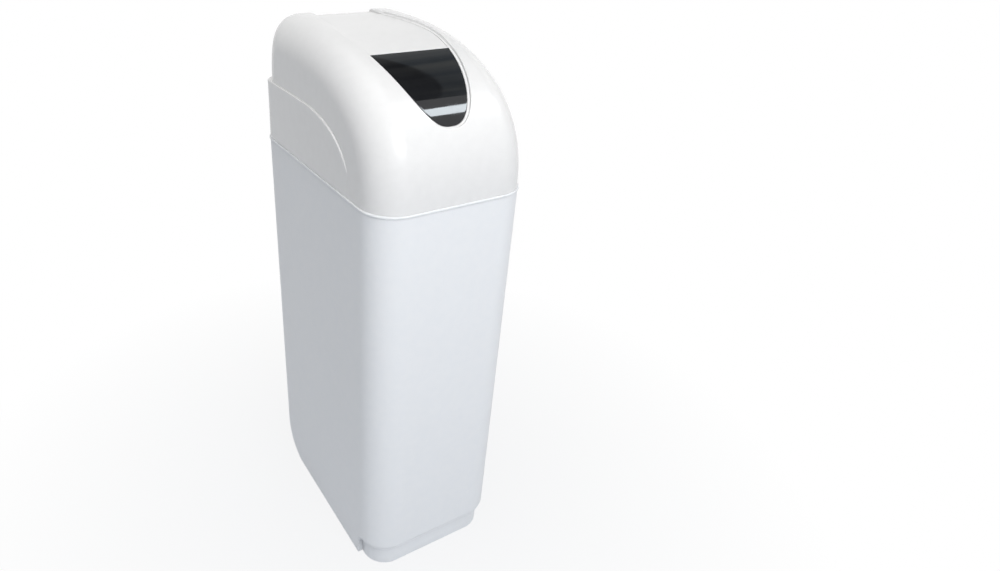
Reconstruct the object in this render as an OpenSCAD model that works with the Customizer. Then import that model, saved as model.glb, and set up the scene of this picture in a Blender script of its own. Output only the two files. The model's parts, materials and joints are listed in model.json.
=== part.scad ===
// Cabinet water softener: a salt cabinet with a lift-off hood, a hinged salt lid,
// a resin tank, and a timer-driven control valve with its brine system.
// Millimetres. X runs to the right, the front faces -Y, Z is up, the floor is z = 0.

/* [Cabinet] */
// Width of the cabinet across the front
cabinet_w = 320; // [300:5:380]
// Depth of the cabinet from front to rear
cabinet_d = 525; // [500:5:600]
// Height of the cabinet rim above the floor
cabinet_h = 866; // [820:1:920]
// Radius of the cabinet's upright corners
corner_r = 64; // [52:1:76]
// Thickness of the cabinet wall
wall = 4; // [3:0.5:6]
// Thickness of the cabinet floor
floor_t = 10; // [6:1:14]
// Height of the toe recess
toe_h = 49; // [35:1:65]
// Depth of the toe recess
toe_d = 12; // [8:1:16]
// Length of the toe recess along each side, from the front face
toe_l = 72; // [66:1:100]
// Radius where the toe recess runs out on the side
toe_r = 16; // [8:1:24]
// Gap between the side skirts and the floor
skirt_gap = 2; // [1:0.5:8]
// Height over which the rear corners round in towards the floor
heel_h = 85; // [60:1:110]
// Radius of the rear corners at the floor
heel_r = 156; // [120:1:158]
// Height of the bead round the rim
rim_h = 5; // [3:0.5:8]
// How far the bead stands proud of the wall
rim_out = 2; // [1:0.5:3]

/* [Hood] */
// Thickness of the hood wall
hood_wall = 3; // [2.5:0.5:4]
// Radius of the hood's long edges
hood_edge_r = 64; // [54:1:70]
// Distance of the hood's highest line from the rear of the cabinet
crest_back = 137; // [120:1:160]
// Roundness of the hood's front curve
front_power = 2.475; // [2.2:0.025:3]
// Roundness of the hood's rear curve
rear_power = 5.55; // [4.5:0.05:6.5]
// How far the hood's side stands in from the cabinet at the seam
side_in = 1; // [0.8:0.1:2]
// Sideways draft of the hood per millimetre of height
side_draft = 0.0237; // [0.01:0.001:0.03]
// Width of the rear ledge between the fender and the upper hood
ledge_w = 20; // [14:1:26]
// Height of the fender above the seam
fender_h = 121; // [112:1:130]
// Length of the fender's level top, from the rear
fender_run = 218; // [190:1:240]
// Length of the fender's curved nose
fender_nose = 205; // [180:1:230]
// Squareness of the fender's curved nose
fender_power = 2.4; // [2:0.1:3]
// Gap at the seam between the hood and the cabinet rim
seam_gap = 0.3; // [0.2:0.1:0.6]
// Depth of the locating lip below the seam
lip_h = 12; // [8:1:20]
// Thickness of the locating lip
lip_t = 2.5; // [2:0.5:4]
// Gap between the locating lip and the cabinet wall
lip_gap = 0.6; // [0.4:0.1:1]
// Width of the pipe notch in the hood's rear
notch_w = 150; // [120:2:170]
// Height of the pipe notch above the seam
notch_h = 112; // [100:1:115]
// Corner radius of the pipe notch
notch_r = 14; // [6:1:24]
// Space between the timer cover and the crest of the hood
roof_clear = 49; // [44:1:60]

/* [Salt lid] */
// Distance of the lid's tip behind the front face
leaf_tip = 33; // [26:1:44]
// Distance of the lid's widest place behind the front face
leaf_wide_at = 252; // [230:1:270]
// Half the lid recess's greatest width
leaf_half = 86.5; // [76:0.5:90]
// How much narrower each side is at the hinge
leaf_taper = 20; // [10:1:28]
// Distance of the lid's rear edge from the rear of the cabinet
leaf_end = 66; // [62:1:72]
// How deep the lid's face lies below the hood's cheeks
lid_drop = 5.4; // [4:0.2:7]
// Thickness of the lid
lid_t = 4; // [3.5:0.5:5]
// Gap round the lid
lid_gap = 1; // [0.6:0.1:1.5]
// Gap under the lid
lid_seat_gap = 0.4; // [0.3:0.1:0.8]
// Width of the ledge that the lid lies on
lid_ledge = 10; // [7:1:14]
// Distance of the window's straight edge behind the front face
window_edge = 178; // [160:1:195]
// Thickness of the window
window_t = 2.2; // [1.8:0.1:2.6]
// Width of the frame under the window
window_frame = 9; // [6:1:14]
// Distance of the lid hinge from the rear of the cabinet
hinge_back = 80.5; // [78:0.5:84]
// Height of the hinge line below the hood's cheeks
hinge_drop = 16.5; // [16:0.5:19]
// Radius of the hinge pin
hinge_pin_r = 3; // [2.5:0.25:4]
// Thickness of a hinge ear and of a hinge arm
hinge_t = 5; // [4:0.5:7]

/* [Resin tank] */
// Radius of the resin tank
tank_r = 128.5; // [115:0.5:132]
// Height of the tank neck above the cabinet rim
neck_rise = 39; // [32:1:46]
// Height of the tank's domed ends
tank_dome = 70; // [55:1:80]
// Thickness of the tank wall
tank_wall = 4; // [3:0.5:6]
// Gap between the tank and the cabinet's rear wall
tank_gap = 10; // [8:1:16]
// Outer radius of the tank neck
neck_r = 46; // [44:1:52]
// Height of the tank neck
neck_h = 22; // [18:1:28]
// Radius of the valve thread in the tank neck
thread_r = 30; // [28:0.5:32]
// Length of the valve thread
thread_l = 25; // [20:1:30]
// Height of the resin bed
bed_h = 520; // [400:10:600]
// Radius of the riser tube
riser_r = 13.3; // [11:0.1:14]
// Height of the tank boot
boot_h = 50; // [44:1:56]
// How much smaller the boot's radius is than the tank's
boot_in = 5.5; // [4:0.5:8]

/* [Control valve] */
// Height of the valve body above its flange face
valve_h = 44; // [42:1:50]
// Radius of the valve flange
flange_r = 44; // [42:1:48]
// Thickness of the valve flange
flange_t = 9; // [7:1:11]
// Radius of the valve barrel
barrel_r = 22; // [20:0.5:24]
// Radius of the barrel's bore
barrel_bore_r = 14; // [13:0.5:15]
// Radius of the piston
piston_r = 9; // [8:0.5:10]
// Stroke of the piston
piston_stroke = 10; // [6:1:11]
// Half the distance between the inlet and the outlet
port_half = 26; // [24:0.5:30]
// Radius of the inlet and outlet threads
port_r = 13.2; // [12.5:0.1:14]
// Radius of the water way in the ports
port_bore_r = 9.5; // [8:0.5:10]
// Length of the inlet and outlet threads
port_thread = 32; // [20:1:40]
// How far the ports stand out behind the cabinet
port_out = 12; // [6:1:30]
// Radius of the drain spigots
drain_r = 6; // [5:0.25:7]
// Length of the drain spigots
drain_l = 32; // [24:1:40]

/* [Timer head] */
// Width of the timer head
head_w = 200; // [196:1:210]
// Height of the timer head
head_h = 114; // [110:1:120]
// Depth of the timer head
head_d = 76; // [72:1:84]
// Distance of the timer's front from the valve axis
face_reach = 62; // [56:1:68]
// Depth of the bezel
bezel_t = 12; // [10:1:14]
// Radius of the head's bowed top and bottom edges
bow_r = 700; // [500:10:900]
// Corner radius of the head
head_corner_r = 6; // [5:0.5:10]
// Width of the bezel's front edge
bezel_w = 9; // [7:0.5:10]
// Slant of the bezel's inner wall
bezel_slant = 6; // [4:0.5:7]
// Thickness of the face plate
plate_t = 2; // [1.5:0.5:3]
// Thickness of the timer cover's wall
cover_t = 2.5; // [2:0.5:3]
// Radius of the regeneration knob
knob_r = 37; // [33:0.5:37.5]
// Number of teeth round the knob
knob_teeth = 72; // [48:4:96]
// Width of the knob's grip bar
grip_w = 30; // [24:1:34]
// Height of the knob's grip bar
grip_l = 64; // [50:1:66]
// How far the grip bar stands in front of the bezel
grip_out = 10; // [6:1:14]
// Radius of the knob shaft
knob_shaft_r = 5; // [4:0.25:6]
// Radius of the program dial
dial_r = 28; // [24:0.5:28]
// Distance of the program dial from the centre
dial_x = 56; // [54:0.5:56.5]
// Radius of the dial's hub
hub_r = 12; // [9:0.5:13]
// Radius of the dial shaft
dial_shaft_r = 4; // [3:0.25:5]
// Distance of the red button from the centre
button_x = 46; // [45:0.5:48]
// Radius of the red button
button_r = 6.75; // [5.5:0.25:7]
// Travel of the red button
button_travel = 2.5; // [1.5:0.25:2.5]
// Radius of the round recess in the face plate
recess_r = 13.7; // [12:0.1:15]
// Size of one gear tooth: pitch diameter over teeth
gear_module = 1; // [0.9:0.05:1.1]
// Teeth on the day gear
day_teeth = 48; // [44:4:52]
// Teeth on the motor pinion
pinion_teeth = 12; // [10:1:13]
// Teeth on the main gear
main_teeth = 62; // [48:2:64]
// Radius of the drive motor
motor_r = 18; // [14:0.5:18]
// Length of the drive motor
motor_l = 24; // [18:1:28]

/* [Brine system] */
// Radius of the brine well
well_r = 45; // [42:0.5:46]
// Thickness of the brine well's wall
well_wall = 2.5; // [2:0.5:3.5]
// Distance of the well's top below the cabinet rim
well_drop = 26; // [20:1:60]
// Radius of the float
float_r = 20; // [16:0.5:21]
// Height of the float
float_h = 60; // [40:1:80]
// Travel of the float
float_travel = 20; // [10:1:30]
// Radius of the float rod
rod_r = 2; // [1.5:0.25:2.5]
// Radius of the brine line
line_r = 4.75; // [4:0.25:4.75]
// Thickness of the salt grid
grid_t = 4; // [3:0.5:6]
// Radius of a hole in the salt grid
grid_hole_r = 5; // [3:0.5:6]
// Distance between holes in the salt grid
grid_pitch = 26; // [22:1:36]
// Height of the overflow below the cabinet rim
overflow_drop = 110; // [90:5:200]
// Distance of the overflow from the centre
overflow_x = 75; // [60:1:76]
// Radius of the overflow spigot
overflow_r = 6.5; // [5.5:0.25:8]

/* [Hidden] */
$fn = 96;
fit = 0.05;
touch = 0.3;
eps = 0.02;

half_w = cabinet_w / 2;
half_d = cabinet_d / 2;
shelf_z = toe_h + wall;
floor_in = toe_d + wall;
heel_skim = 0.2;

tank_y = half_d - wall - tank_gap - tank_r;
tank_top = cabinet_h + neck_rise;
boot_t = 6;
boot_r = tank_r - boot_in;
tank_z = floor_t + boot_t;
strainer_r = 20;
strainer_h = 60;
seal_r = 1.6;

flange_z = tank_top + 2 * seal_r;
barrel_top = flange_z + valve_h;
port_z = flange_z + 29;
pad_x = barrel_r + 4;
block_y = tank_y + 48;
nipple_r = port_r - 1.2;
nipple_l = 14;
collar_r = port_r + 3;
collar_t = 8;
clip_t = 3;
clip_screw_r = 2.5;
injector_z = flange_z + 30;
injector_l = 26;
injector_half = 11;
drain_gap = 20;
drain_z = injector_z - 4;
plug_h = 8;
seal_bottom = flange_z + flange_t;
piston_h = 14;
piston_rod_r = 4;

cover_in = 1;
head_z = barrel_top + head_h / 2 - cover_in + 0.2;
face_y = tank_y - face_reach;
plate_y = face_y + bezel_t;
mech_y = plate_y + 18;
mech_t = 3;
cover_end = face_y + head_d;
opening_w = head_w - 2 * bezel_w;
opening_h = head_h - 2 * bezel_w - 4;
knob_z = head_z - 1;
dial_z = head_z - 3;
knob_back = face_y + 7;
dial_back = plate_y - 0.6;
day_y = plate_y + plate_t + 1;
day_t = 5;
main_y = day_y + day_t + 1.5;
main_t = 6;
cup_y = face_y + 8;
cup_r = button_r + 2.25;
mesh_gap = 0.3;
day_r = gear_module * day_teeth / 2;
pinion_r = gear_module * pinion_teeth / 2;
pinion_z = knob_z - day_r - pinion_r - mesh_gap;
pinion_shaft_r = 2;
post_x = head_w / 2 - 14;
post_z = head_h / 2 - 16;

hood_z = cabinet_h + seam_gap;
hood_h = neck_rise + 2 * seal_r + valve_h + head_h + roof_clear - seam_gap;
crest_y = half_d - crest_back;
front_a = crest_y + half_d;
rear_a = half_d - ledge_w - crest_y;
fender_y = half_d - fender_run;
tip_y = leaf_tip - half_d;
wide_y = leaf_wide_at - half_d;
lid_end_y = half_d - leaf_end;
window_y = window_edge - half_d;
seat_depth = lid_drop + lid_t + lid_seat_gap;
hinge_y = half_d - hinge_back;
hinge_z = crown_z(hinge_y, 0) - hinge_drop;
hinge_reach = norm([lid_end_y - hinge_y, crown_z(lid_end_y, 0) - lid_drop - hinge_z]);
recess_end_y = hinge_y + hinge_reach + 0.8;
slot_y = hinge_y - 14;
ear_x = leaf_at(hinge_y) + hood_wall + 1.5;
arm_x = leaf_at(lid_end_y) - lid_gap - 6;

well_x = -half_w + floor_in + well_r + 3;
well_y = -half_d + floor_in + well_r + 5;
well_top = cabinet_h - well_drop;
brine_z = well_top - 68;
pipe_r = 6;
pipe_y = well_y + 20;
rod_y = well_y - 8;
float_z = 420;
overflow_z = cabinet_h - overflow_drop;
overflow_stem_r = overflow_r + 2.5;
overflow_end = half_d + 22;
gasket_t = 1.5;

white_gloss = [0.95, 0.95, 0.95];
white_satin = [0.9, 0.92, 0.94];
smoke = [0.05, 0.06, 0.09];
dark_brown = [0.13, 0.1, 0.09];
black = [0.08, 0.08, 0.09];
teal = [0.1, 0.62, 0.68];
grey = [0.62, 0.63, 0.64];
steel = [0.72, 0.72, 0.74];
rubber = [0.06, 0.06, 0.06];
natural = [0.86, 0.85, 0.8];

// Route of the brine line, from the brine valve up and over to the injector nut
line_route = [
    [well_x, well_y + well_r + 5, brine_z + 12],
    [well_x, well_y + well_r + 18, brine_z + 12],
    [well_x, well_y + well_r + 30, brine_z + 12],
    [well_x - 6, well_y + well_r + 66, brine_z + 42],
    [well_x - 18, well_y + well_r + 110, brine_z + 95],
    [well_x - 26, tank_y - 100, injector_z - 28],
    [well_x - 24, tank_y - 44, injector_z - 5],
    [-pad_x - injector_l - 50, tank_y - 11, injector_z],
    [-pad_x - injector_l - 32, tank_y, injector_z],
    [-pad_x - injector_l - 18, tank_y, injector_z],
    [-pad_x - injector_l - 7, tank_y, injector_z]
];
line_sides = 10;
line_steps = 4;

// Point on a quarter of a superellipse with half-axes a and b, at an angle from 0 to 90
function super_quarter(a, b, power, angle) =
    let (k = pow(pow(cos(angle), power) + pow(sin(angle), power), 1 / power))
    [a * cos(angle) / k, b * sin(angle) / k];

// Height of the hood's middle line at a place along Y, for a shell set in by inset
function crown_z(y, inset) =
    let (rear = y > crest_y)
    let (a = (rear ? rear_a : front_a) - inset)
    let (power = rear ? rear_power : front_power)
    hood_z + (hood_h - inset) * pow(1 - pow(abs(y - crest_y) / a, power), 1 / power);

// Outward direction of the hood's middle line in the Y-Z plane
function crown_normal(y) =
    let (step = 0.5)
    let (rise = (crown_z(y + step, 0) - crown_z(y - step, 0)) / (2 * step))
    [0, -rise, 1] / norm([0, -rise, 1]);

// Half the hood's width at a height
function side_at(z) = half_w - side_in - side_draft * (z - hood_z);

// Points of the convex crown, as sections across the hood from front to rear
function crown_points(inset) =
    let (edge = hood_edge_r - inset)
    [for (angle = [0:5:90], turn = [0:10:90], rear = [0, 1], side = [-1, 1])
        let (in = inset + edge * (1 - cos(turn)))
        let (power = rear ? rear_power : front_power)
        let (p = super_quarter((rear ? rear_a : front_a) - in, hood_h - in, power, angle))
        let (y = crest_y + (rear ? p[0] : -p[0]))
        let (z = hood_z + p[1])
        [side * (side_at(z) - hood_edge_r + edge * sin(turn)), y, angle == 0 ? z - 4 : z]];

// Half the width of the leaf-shaped lid recess at a place along Y
function leaf_at(y) =
    y < wide_y
    ? leaf_half * pow(max(0, 1 - pow((wide_y - y) / (wide_y - tip_y), 1.6)), 0.36)
    : leaf_half - leaf_taper * pow((min(y, slot_y) - wide_y) / (slot_y - wide_y), 1.1);

// Places along Y where the leaf has a section: close together at the tip
leaf_front = [for (k = [0:12]) wide_y - (wide_y - tip_y) * (1 - pow(k / 12, 2))];
function leaf_stations(y0, y1, grow) = concat(
    [y0],
    [for (y = leaf_front) if (y - grow > y0 + 1 && y - grow < y1 - 1) y - grow],
    [for (k = [1:8]) let (y = wide_y + (slot_y - wide_y) * k / 8) if (y > y0 + 1 && y < y1 - 1) y],
    [for (k = [1:6]) let (y = slot_y + (lid_end_y - slot_y) * k / 6) if (y > y0 + 1 && y < y1 - 1) y],
    [y1]);

// Two corners of the leaf at a place along Y, at a depth below the hood's cheeks
function leaf_row(y, grow, depth) =
    let (half = max(leaf_at(y + grow) + grow, 0.5))
    let (p = [0, y, crown_z(y, 0)] - depth * crown_normal(y))
    [p - [half, 0, 0], p + [half, 0, 0]];

// Points along a smooth curve through a list of points
function curve_point(p, k, t) =
    let (a = p[max(k - 1, 0)], b = p[k], c = p[k + 1], d = p[min(k + 2, len(p) - 1)])
    0.5 * (2 * b + (c - a) * t + (2 * a - 5 * b + 4 * c - d) * t * t
        + (3 * b - a - 3 * c + d) * t * t * t);
function curve(p, steps) = concat(
    [for (k = [0:len(p) - 2], i = [0:steps - 1]) curve_point(p, k, i / steps)],
    [p[len(p) - 1]]);

// Outline of a gear with plain tapered teeth, a tooth on the +X axis
function gear_outline(teeth, pitch_r) =
    [for (i = [0:teeth - 1], c = [[-0.28, -1.1], [-0.13, 0.9], [0.13, 0.9], [0.28, -1.1]])
        let (a = (i + c[0]) * 360 / teeth)
        (pitch_r + c[1] * gear_module) * [cos(a), sin(a)]];

module rounded(w, d, r) {
    square([w - 2 * r, d], center = true);
    square([w, d - 2 * r], center = true);
    for (x = [-1, 1], y = [-1, 1])
        translate([x * (w / 2 - r), y * (d / 2 - r)])
            circle(r);
}

// The cabinet's plan, set in by inset
module plan(inset) {
    rounded(cabinet_w - 2 * inset, cabinet_d - 2 * inset, corner_r - inset);
}

// Extrudes a side outline, drawn in Y and Z, across X
module across(width) {
    rotate([90, 0, 90])
        linear_extrude(width, center = true)
            children();
}

// Extrudes a front outline, drawn in X and Z, from y0 back to y1
module front_slab(y0, y1) {
    translate([0, y1, 0])
        rotate([90, 0, 0])
            linear_extrude(y1 - y0)
                children();
}

// A round bar along Y, from y0 back to y1
module bar_y(x, z, r, y0, y1) {
    translate([x, y0, z])
        rotate([-90, 0, 0])
            cylinder(r = r, h = y1 - y0);
}

// A round bar along X, from x0 to x1
module bar_x(y, z, r, x0, x1) {
    translate([x0, y, z])
        rotate([0, 90, 0])
            cylinder(r = r, h = x1 - x0);
}

module ring(r_out, r_in, h) {
    difference() {
        cylinder(r = r_out, h = h);
        translate([0, 0, -1])
            cylinder(r = r_in, h = h + 2);
    }
}

module hull_of(points) {
    hull()
        polyhedron(points = points, faces = [[for (i = [0:len(points) - 1]) i]]);
}

// A band that follows the hood's curve, as wide as the leaf plus grow, between two depths
module leaf_band(y0, y1, grow, depth0, depth1) {
    stations = leaf_stations(max(y0, tip_y - grow), y1, grow);
    for (k = [0:len(stations) - 2])
        hull_of(concat(
            leaf_row(stations[k], grow, depth0), leaf_row(stations[k], grow, depth1),
            leaf_row(stations[k + 1], grow, depth0), leaf_row(stations[k + 1], grow, depth1)));
}

// Radius of the rear corners at a height
function heel_at(z) =
    corner_r + (min(heel_r, half_w - 2) - corner_r) * (1 - sqrt(1 - pow(1 - z / heel_h, 2)));

// Points round the rear end at a height, set in by inset
function heel_ring(inset, z) =
    let (r = heel_at(z))
    [for (side = [-1, 1], turn = [-1:18])
        let (x = (r - inset) * cos(max(5 * turn, 0)))
        let (y = turn < 0 ? r - heel_r - 2 : (r - inset) * sin(5 * turn))
            [side * (half_w - r + x), half_d - r + y, z]];

// What the rounded rear corners leave out, for a wall set in by inset
module heel_cut(inset) {
    difference() {
        translate([-half_w - 2, half_d - heel_r, -2])
            cube([cabinet_w + 4, heel_r + 2, heel_h + 2]);
        hull_of(concat(
            [for (lean = [0:11.25:90]) each heel_ring(inset, heel_h * (1 - sin(lean)))],
            [for (p = heel_ring(inset, 0)) [p[0], p[1], -3]]));
    }
}

module toe_recess() {
    difference() {
        across(cabinet_w + 20)
            translate([-half_d, 0]) {
                translate([-10, -1])
                    square([toe_l + 10 - toe_r, toe_h + 1]);
                translate([-10, -1])
                    square([toe_l + 10, toe_h + 1 - toe_r]);
                translate([toe_l - toe_r, toe_h - toe_r])
                    circle(toe_r);
            }
        translate([0, 0, -2])
            linear_extrude(toe_h + 4)
                plan(toe_d);
    }
}

module cabinet_body() {
    color(white_satin)
        difference() {
            union() {
                translate([0, 0, skirt_gap])
                    linear_extrude(cabinet_h - skirt_gap)
                        plan(0);
                linear_extrude(toe_h)
                    plan(toe_d);
                translate([0, 0, cabinet_h - rim_h])
                    linear_extrude(rim_h)
                        plan(-rim_out);
            }
            toe_recess();
            heel_cut(-heel_skim);
            difference() {
                union() {
                    translate([0, 0, shelf_z])
                        linear_extrude(cabinet_h)
                            plan(wall);
                    translate([0, 0, floor_t])
                        linear_extrude(cabinet_h)
                            plan(floor_in);
                }
                heel_cut(wall - heel_skim);
            }
            bar_y(overflow_x, overflow_z, overflow_stem_r + 2 * fit, half_d - 2 * wall, half_d + wall);
        }
}

module overflow_elbow() {
    color(black)
        difference() {
            union() {
                bar_y(overflow_x, overflow_z, overflow_stem_r + 6,
                    half_d - wall - gasket_t - 3.5, half_d - wall - gasket_t);
                bar_y(overflow_x, overflow_z, overflow_stem_r,
                    half_d - wall - gasket_t - 2, overflow_end);
                translate([overflow_x, overflow_end, overflow_z])
                    sphere(overflow_stem_r + 0.5);
                translate([overflow_x, overflow_end, overflow_z - 16])
                    cylinder(r = overflow_stem_r - 0.5, h = 16);
                translate([overflow_x, overflow_end, overflow_z - 42])
                    cylinder(r = overflow_r, h = 30);
            }
            bar_y(overflow_x, overflow_z, overflow_r - 2, half_d - 4 * wall, overflow_end);
            translate([overflow_x, overflow_end, overflow_z - 50])
                cylinder(r = overflow_r - 2, h = 50);
        }
}

module overflow_nut() {
    color(black)
        translate([overflow_x, half_d, overflow_z])
            rotate([-90, 0, 0])
                difference() {
                    cylinder(r = overflow_stem_r + 7, h = 8, $fn = 6);
                    translate([0, 0, -1])
                        cylinder(r = overflow_stem_r + fit, h = 10);
                }
}

module overflow_gasket() {
    color(rubber)
        translate([overflow_x, half_d - wall - gasket_t, overflow_z])
            rotate([-90, 0, 0])
                ring(overflow_stem_r + 5, overflow_stem_r + fit, gasket_t);
}

// Plate on the shelf round the cabinet's foot, cut away for the tank and the well
module salt_grid() {
    color(natural)
        translate([0, 0, shelf_z])
            linear_extrude(grid_t)
                difference() {
                    plan(wall + 1);
                    translate([-half_w, tank_y - 40])
                        square([cabinet_w, cabinet_d]);
                    translate([0, tank_y])
                        circle(tank_r + 4);
                    translate([well_x, well_y])
                        circle(well_r + 1);
                    for (x = [-floor(half_w / grid_pitch):floor(half_w / grid_pitch)],
                            y = [0:floor(half_d / grid_pitch)])
                        let (p = [x * grid_pitch, floor_in - half_d + (y + 0.5) * grid_pitch])
                        if (norm(p - [well_x, well_y]) > well_r + 2 * grid_hole_r
                                && norm(p - [0, tank_y]) > tank_r + 2 * grid_hole_r + 4
                                && abs(p[0]) < half_w - floor_in - 2 * grid_hole_r
                                && norm([max(abs(p[0]) - half_w + corner_r, 0),
                                    max(abs(p[1]) - half_d + corner_r, 0)]) < corner_r - floor_in - grid_hole_r)
                            translate(p)
                                circle(grid_hole_r);
                }
}

module brine_well() {
    color(natural)
        translate([well_x, well_y, floor_t])
            difference() {
                ring(well_r, well_r - well_wall, well_top - floor_t);
                for (turn = [0:45:135], level = [0:3])
                    rotate([0, 0, turn])
                        translate([-well_r - 1, -3, 14 + 30 * level])
                            cube([2 * well_r + 2, 6, 18]);
                translate([0, 0, brine_z + 12 - floor_t])
                    rotate([-90, 0, 0])
                        cylinder(r = line_r + 3.5, h = well_r + 1);
            }
}

module brine_well_cap() {
    color(natural)
        translate([well_x, well_y, well_top]) {
            cylinder(r = well_r + 2, h = 3);
            translate([0, 0, -8])
                ring(well_r - well_wall - touch, well_r - well_wall - 3, 9);
            translate([0, 0, 3])
                cylinder(r = 9, h = 9);
        }
}

module air_check() {
    color(natural)
        translate([well_x, pipe_y, floor_t])
            difference() {
                union() {
                    cylinder(r = 15, h = 40);
                    translate([0, 0, 40])
                        cylinder(r1 = 15, r2 = 9, h = 10);
                }
                for (turn = [0:60:120])
                    rotate([0, 0, turn])
                        translate([-16, -2, 6])
                            cube([32, 4, 12]);
                translate([0, 0, 38])
                    cylinder(r = pipe_r + fit, h = 20);
            }
}

module brine_riser() {
    color(natural)
        translate([well_x, pipe_y, floor_t + 38])
            ring(pipe_r, pipe_r - 1.6, brine_z - 12 - floor_t - 38);
}

module brine_valve() {
    color(black)
        difference() {
            union() {
                translate([well_x, pipe_y, brine_z - 20])
                    cylinder(r = 11, h = 44);
                translate([well_x - 7, rod_y - 7, brine_z - 4])
                    cube([14, pipe_y - rod_y, 14]);
                bar_y(well_x, brine_z + 12, line_r + 3, pipe_y, well_y + well_r + 16);
            }
            translate([well_x, pipe_y, brine_z - 21])
                cylinder(r = pipe_r + fit, h = 9);
            translate([well_x, rod_y, brine_z - 30])
                cylinder(r = rod_r + 0.08, h = 60);
            bar_y(well_x, brine_z + 12, line_r + 0.2, well_y + well_r + 4, well_y + well_r + 20);
        }
}

module float_guide() {
    color(black)
        translate([0, 0, 200])
            difference() {
                union() {
                    translate([well_x, pipe_y, 0])
                        cylinder(r = pipe_r + 3, h = 8);
                    translate([well_x - 4, rod_y, 0])
                        cube([8, pipe_y - rod_y, 8]);
                    translate([well_x, rod_y, 0])
                        cylinder(r = rod_r + 3, h = 8);
                }
                translate([well_x, pipe_y, -1])
                    cylinder(r = pipe_r + fit, h = 10);
                translate([well_x, rod_y, -1])
                    cylinder(r = rod_r + 0.08, h = 10);
            }
}

module float_rod() {
    color(steel)
        translate([well_x, rod_y, 0]) {
            translate([0, 0, 140])
                cylinder(r = rod_r, h = brine_z - 100);
            for (z = [float_z - 6, float_z + float_h, brine_z - 4 - float_travel - 7])
                translate([0, 0, z])
                    cylinder(r = rod_r + 3, h = 6);
        }
}

module brine_float() {
    color(natural)
        translate([well_x, rod_y, float_z])
            difference() {
                union() {
                    translate([0, 0, 4])
                        cylinder(r = float_r, h = float_h - 8);
                    cylinder(r1 = float_r - 4, r2 = float_r, h = 4);
                    translate([0, 0, float_h - 4])
                        cylinder(r1 = float_r, r2 = float_r - 4, h = 4);
                }
                translate([0, 0, -1])
                    cylinder(r = rod_r + fit, h = float_h + 2);
            }
}

module brine_line() {
    path = curve(line_route, line_steps);
    last = len(path) - 1;
    lean = [0, -0.7, 0.7];
    points = [for (i = [0:last])
        let (way = path[min(i + 1, last)] - path[max(i - 1, 0)])
        let (tangent = way / norm(way))
        let (u0 = cross(tangent, lean))
        let (u = u0 / norm(u0))
        let (v = cross(tangent, u))
        for (s = [0:line_sides - 1])
            path[i] + line_r * (cos(s * 360 / line_sides) * u + sin(s * 360 / line_sides) * v)];
    sides = [for (i = [0:last - 1], s = [0:line_sides - 1])
        let (a = i * line_sides + s, b = i * line_sides + (s + 1) % line_sides)
        each [[a, a + line_sides, b], [b, a + line_sides, b + line_sides]]];
    first_end = [[for (s = [0:line_sides - 1]) s]];
    last_end = [[for (s = [0:line_sides - 1]) last * line_sides + line_sides - 1 - s]];
    color([0.85, 0.86, 0.85])
        polyhedron(points = points, faces = concat(sides, first_end, last_end));
}

// Upright outline of the tank, outside and inside, set in by inset
function tank_dome_z() = tank_top - neck_h - tank_dome * sin(acos(neck_r / tank_r));
function tank_bottom(inset) =
    [for (a = [0:10:90]) [(tank_r - inset) * sin(a), tank_z + tank_dome - (tank_dome - inset) * cos(a)]];
function tank_shoulder(inset, r_end) =
    let (a_end = acos(r_end / (tank_r - inset)))
    [for (k = [0:8]) let (a = a_end * k / 8)
        [(tank_r - inset) * cos(a), tank_dome_z() + (tank_dome - inset) * sin(a)]];

module resin_tank() {
    bore_r = thread_r + touch;
    inside = concat(tank_bottom(tank_wall), tank_shoulder(tank_wall, bore_r), [[bore_r, tank_top]]);
    color([0.16, 0.3, 0.42])
        translate([0, tank_y, 0])
            rotate_extrude()
                polygon(concat(
                    tank_bottom(0), tank_shoulder(0, neck_r), [[neck_r, tank_top]],
                    [for (i = [len(inside) - 1:-1:0]) inside[i]]));
}

module tank_boot() {
    a_top = acos(1 - (boot_h - boot_t) / tank_dome);
    color(black)
        translate([0, tank_y, 0])
            difference() {
                rotate_extrude()
                    polygon(concat(
                        [[0, floor_t], [boot_r, floor_t], [boot_r, floor_t + boot_h]],
                        [for (k = [8:-1:0]) let (a = a_top * k / 8)
                            [tank_r * sin(a), tank_z + tank_dome * (1 - cos(a)) - touch * cos(a)]]));
                for (turn = [0:30:150])
                    rotate([0, 0, turn])
                        translate([-boot_r - 1, -4, floor_t + 12])
                            cube([10, 8, 20]);
            }
}

module resin_bed() {
    gap = tank_wall + 0.5;
    a_in = asin((strainer_r + 0.5) / (tank_r - gap));
    color([0.72, 0.45, 0.16])
        translate([0, tank_y, 0])
            rotate_extrude()
                polygon(concat(
                    [for (k = [0:8]) let (a = a_in + (90 - a_in) * k / 8)
                        [(tank_r - gap) * sin(a), tank_z + tank_dome - (tank_dome - gap) * cos(a)]],
                    [[tank_r - gap, tank_z + bed_h], [riser_r + 0.5, tank_z + bed_h],
                        [riser_r + 0.5, tank_z + tank_wall + strainer_h + 1],
                        [strainer_r + 0.5, tank_z + tank_wall + strainer_h + 1]]));
}

module riser_tube() {
    z0 = tank_z + tank_wall + strainer_h - 10;
    color(natural)
        translate([0, tank_y, z0])
            ring(riser_r, riser_r - 2, flange_z - 1 - z0);
}

module bottom_strainer() {
    color(natural)
        translate([0, tank_y, tank_z + tank_wall + 2])
            difference() {
                cylinder(r = strainer_r, h = strainer_h - 2);
                translate([0, 0, 4])
                    cylinder(r = strainer_r - 5, h = strainer_h - 16);
                translate([0, 0, strainer_h - 12])
                    cylinder(r = riser_r + fit, h = 20);
                for (level = [0:7])
                    translate([0, 0, 7 + 5 * level])
                        ring(strainer_r + 1, strainer_r - 1.5, 2);
            }
}

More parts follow.
